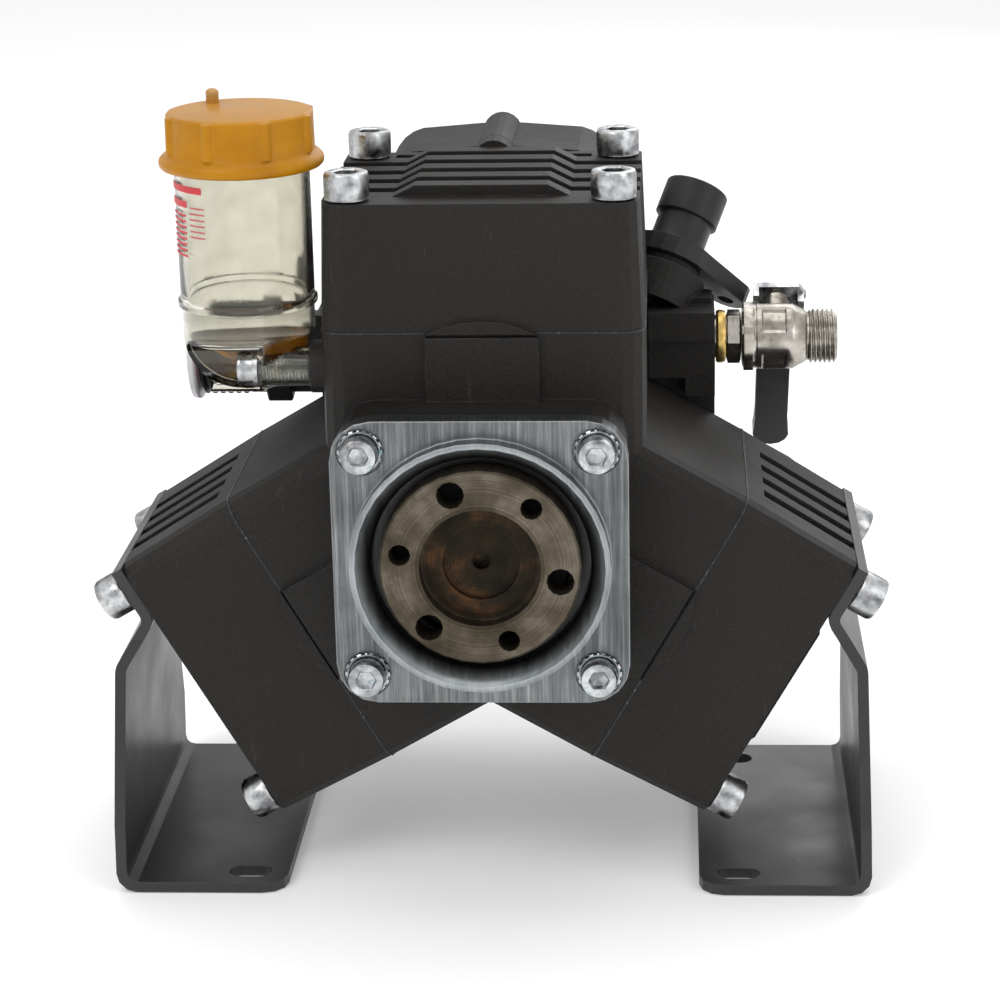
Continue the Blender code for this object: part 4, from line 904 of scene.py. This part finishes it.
def make_label():
    """Generic printed stripes round the front left of the cup."""
    red = label_print("label_red", (0.60, 0.030, 0.04))
    pale_red = label_print("label_pale_red", (0.52, 0.12, 0.12))
    for index in range(2):
        low = 0.1190 + 0.0055 * index
        curved_patch(f"label_band_{index}", red, 190, 224 + 18 * index, low, low + 0.0024)
    for index in range(8):
        low = 0.1010 + 0.0021 * index
        curved_patch(f"label_line_{index}", red, 194, 222, low, low + 0.0008)
    for index in range(6):
        low = 0.1085 + 0.0021 * index
        curved_patch(f"label_rule_{index}", pale_red, 228, 244, low, low + 0.0006)


# ---- cap and return port -------------------------------------------------------------------
def make_oil_cap():
    """Screw cap with shallow grip ribs and a rim."""
    ribs = [math.radians(FIRST_RIB + 360.0 / CAP_RIBS * index) for index in range(CAP_RIBS)]

    def gripped(radius):
        def at_angle(angle):
            away = min(abs((angle - rib + math.pi) % (2 * math.pi) - math.pi) for rib in ribs)
            lift = max(0.0, 1.0 - (away * radius / RIB_HALF_WIDTH) ** 2)
            return radius + RIB_HEIGHT * math.sqrt(lift)

        return at_angle

    rings = [(0.0, CAP_TOP), (0.0246, CAP_TOP), (0.0257, CAP_TOP - 0.0003),
             (gripped(0.02625), CAP_TOP - 0.0010), (gripped(0.0263), 0.1440),
             (gripped(0.0264), 0.1372), (0.0268, 0.1366), (0.0284, 0.1354), (0.0293, 0.1344),
             (0.0296, 0.1333), (0.0294, 0.1320), (0.0286, 0.1311), (0.0270, 0.1306),
             (0.0250, 0.1305), (0.0250, 0.1480), (0.0, 0.1480)]
    place = Matrix.Translation(ORIGIN + RESERVOIR)
    mesh = turned_mesh("oil_cap_look", rings, 240, place)
    piece("oil_cap_look", mesh, CAP, "cap", ["oil_cap"])


def make_cap_vent():
    """Small nipple on top of the cap."""
    rings = [(0.0, 0.1506), (0.0024, 0.1506), (0.0023, 0.1538), (0.0024, 0.1541),
             (0.0023, 0.1551), (0.0017, 0.1558), (0.0008, 0.15615), (0.0, 0.1562)]
    place = Matrix.Translation(ORIGIN + RESERVOIR + VENT)
    mesh = turned_mesh("cap_vent", rings, 24, place)
    piece("cap_vent", mesh, CAP, "cap")


def make_return_collar():
    """Fine rings round the return port's collar, and a smooth neck."""
    rings = [(0.0080, 0.0076), (0.0118, 0.0076), (0.0112, 0.0082), (0.0109, 0.0090),
             (0.0109, 0.0190), (0.0122, 0.0193), (0.0125, 0.0196)]
    for index in range(COLLAR_GROOVES):
        height = 0.0200 + 0.0123 * index / COLLAR_GROOVES
        rings += [(0.01252, height), (0.01238, height + 0.0003), (0.01252, height + 0.0006)]
    rings += [(0.0125, 0.0326), (0.0121, 0.0331), (0.0084, 0.0331), (0.0080, 0.0328)]
    place = facing(ORIGIN + RETURN_BASE, RETURN_AXIS)
    mesh = turned_mesh("return_collar", rings, ROUND, place)
    piece("return_collar", mesh, BLACK, "pump", sharp=50)


# ---- casting details -----------------------------------------------------------------------
def case_outline():
    """Points about 1.2 mm apart round an arm's section, in X and Y."""
    points = []
    front = CASE_HALF - FRONT_CORNER
    rear = CASE_HALF - REAR_CORNER
    corners = ((-front, FRONT_CORNER, FRONT_CORNER, 180, 270),
               (front, FRONT_CORNER, FRONT_CORNER, 270, 360),
               (rear, CASE_DEPTH - REAR_CORNER, REAR_CORNER, 0, 90),
               (-rear, CASE_DEPTH - REAR_CORNER, REAR_CORNER, 90, 180))
    for x, y, radius, start, end in corners:
        for step in range(5):
            angle = math.radians(start + (end - start) * step / 4)
            points.append(Vector((x + radius * math.cos(angle), y + radius * math.sin(angle))))
    dense = []
    for first, second in zip(points, points[1:] + points[:1]):
        count = max(1, round((second - first).length / 0.0012))
        dense += [first.lerp(second, step / count) for step in range(count)]
    return dense


def make_seam(arm):
    """Bead of compound squeezed out of the joint under a head, with a few blobs."""
    outline = case_outline()
    turn = Matrix.Rotation(ARMS[arm], 4, "Y")
    work = bmesh.new()
    loops = []
    for index, point in enumerate(outline):
        before = outline[index - 1]
        after = outline[(index + 1) % len(outline)]
        along = (after - before).normalized()
        out = Vector((along.y, -along.x))
        wobble = noise.noise(Vector((point.x * 260, point.y * 260, ARMS[arm] * 7)))
        proud = BEAD_PROUD + 0.00035 * max(0.0, wobble - 0.15)
        half = BEAD_HALF + 0.0009 * max(0.0, wobble - 0.25)
        section = ((-BEAD_SUNK, -half), (proud * 0.7, -half * 0.8), (proud, 0.0),
                   (proud * 0.7, half * 0.8), (-BEAD_SUNK, half))
        loop = []
        for r, z in section:
            spot = Vector((point.x + out.x * r, point.y + out.y * r, SEAM + 0.00015 + z))
            loop.append(work.verts.new(ORIGIN + (turn @ spot.to_4d()).to_3d()))
        loops.append(loop)
    for first, second in zip(loops, loops[1:] + loops[:1]):
        bridge(work, first, second)
    bmesh.ops.recalc_face_normals(work, faces=work.faces)
    name = "seam_bead_" + arm
    piece(name, finished_mesh(name, work), SEAM_DARK, "pump")


# ---- studio --------------------------------------------------------------------------------
def make_camera():
    """The camera in front, a little above and to the right."""
    camera = bpy.data.cameras.new("view")
    camera.lens = CAMERA_LENS
    camera.sensor_width = SENSOR_WIDTH
    camera.shift_x, camera.shift_y = CAMERA_SHIFT
    camera.clip_start = 0.01
    camera.clip_end = 50.0
    obj = new_object("view", camera)
    forward = Vector((math.sin(CAMERA_YAW) * math.cos(CAMERA_PITCH),
                      math.cos(CAMERA_YAW) * math.cos(CAMERA_PITCH), math.sin(CAMERA_PITCH)))
    right = forward.cross(Vector((0, 0, 1))).normalized()
    up = right.cross(forward)
    c, s = math.cos(CAMERA_ROLL), math.sin(CAMERA_ROLL)
    columns = (right * c + up * s, up * c - right * s, -forward)
    turn = Matrix(columns).transposed().to_4x4()
    obj.matrix_world = Matrix.Translation(CAMERA_AT) @ turn
    bpy.context.scene.camera = obj


def make_light(name, place, size, watts):
    """A rectangular light turned to the pump."""
    light = bpy.data.lights.new(name, "AREA")
    light.shape = "RECTANGLE"
    light.size, light.size_y = size
    light.energy = watts
    obj = new_object(name, light)
    obj.location = place
    way = Vector(LIGHT_TARGET) - Vector(place)
    obj.rotation_euler = way.to_track_quat("-Z", "Y").to_euler()


def make_floor():
    """White ground, just under the feet."""
    work = bmesh.new()
    bmesh.ops.create_grid(work, x_segments=1, y_segments=1, size=FLOOR_HALF)
    floor = new_object("floor", finished_mesh("floor", work))
    floor.location = (0.0, 0.0, -FLOOR_DROP)
    floor.data.materials.append(floor_paint())


def make_backdrop():
    """Even white light from all round."""
    world = bpy.data.worlds.new("studio")
    world.use_nodes = True
    backdrop = world.node_tree.nodes["Background"]
    backdrop.inputs["Color"].default_value = (1.0, 1.0, 1.0, 1.0)
    backdrop.inputs["Strength"].default_value = BACKDROP_STRENGTH
    bpy.context.scene.world = world


# ---- assembly ------------------------------------------------------------------------------
dress_cad_nodes()
make_screws()
make_lock_washers()
make_suction_spigot()
make_valve_body()
make_stem_gland()
make_nipple()
make_nipple_sealing()
make_reservoir()
make_oil()
make_reservoir_screw()
make_label()
make_oil_cap()
make_cap_vent()
make_return_collar()
for arm_name in ARMS:
    make_seam(arm_name)
make_camera()
make_floor()
make_backdrop()
for light_settings in LIGHTS:
    make_light(*light_settings)
bpy.context.scene.view_settings.view_transform = "Standard"
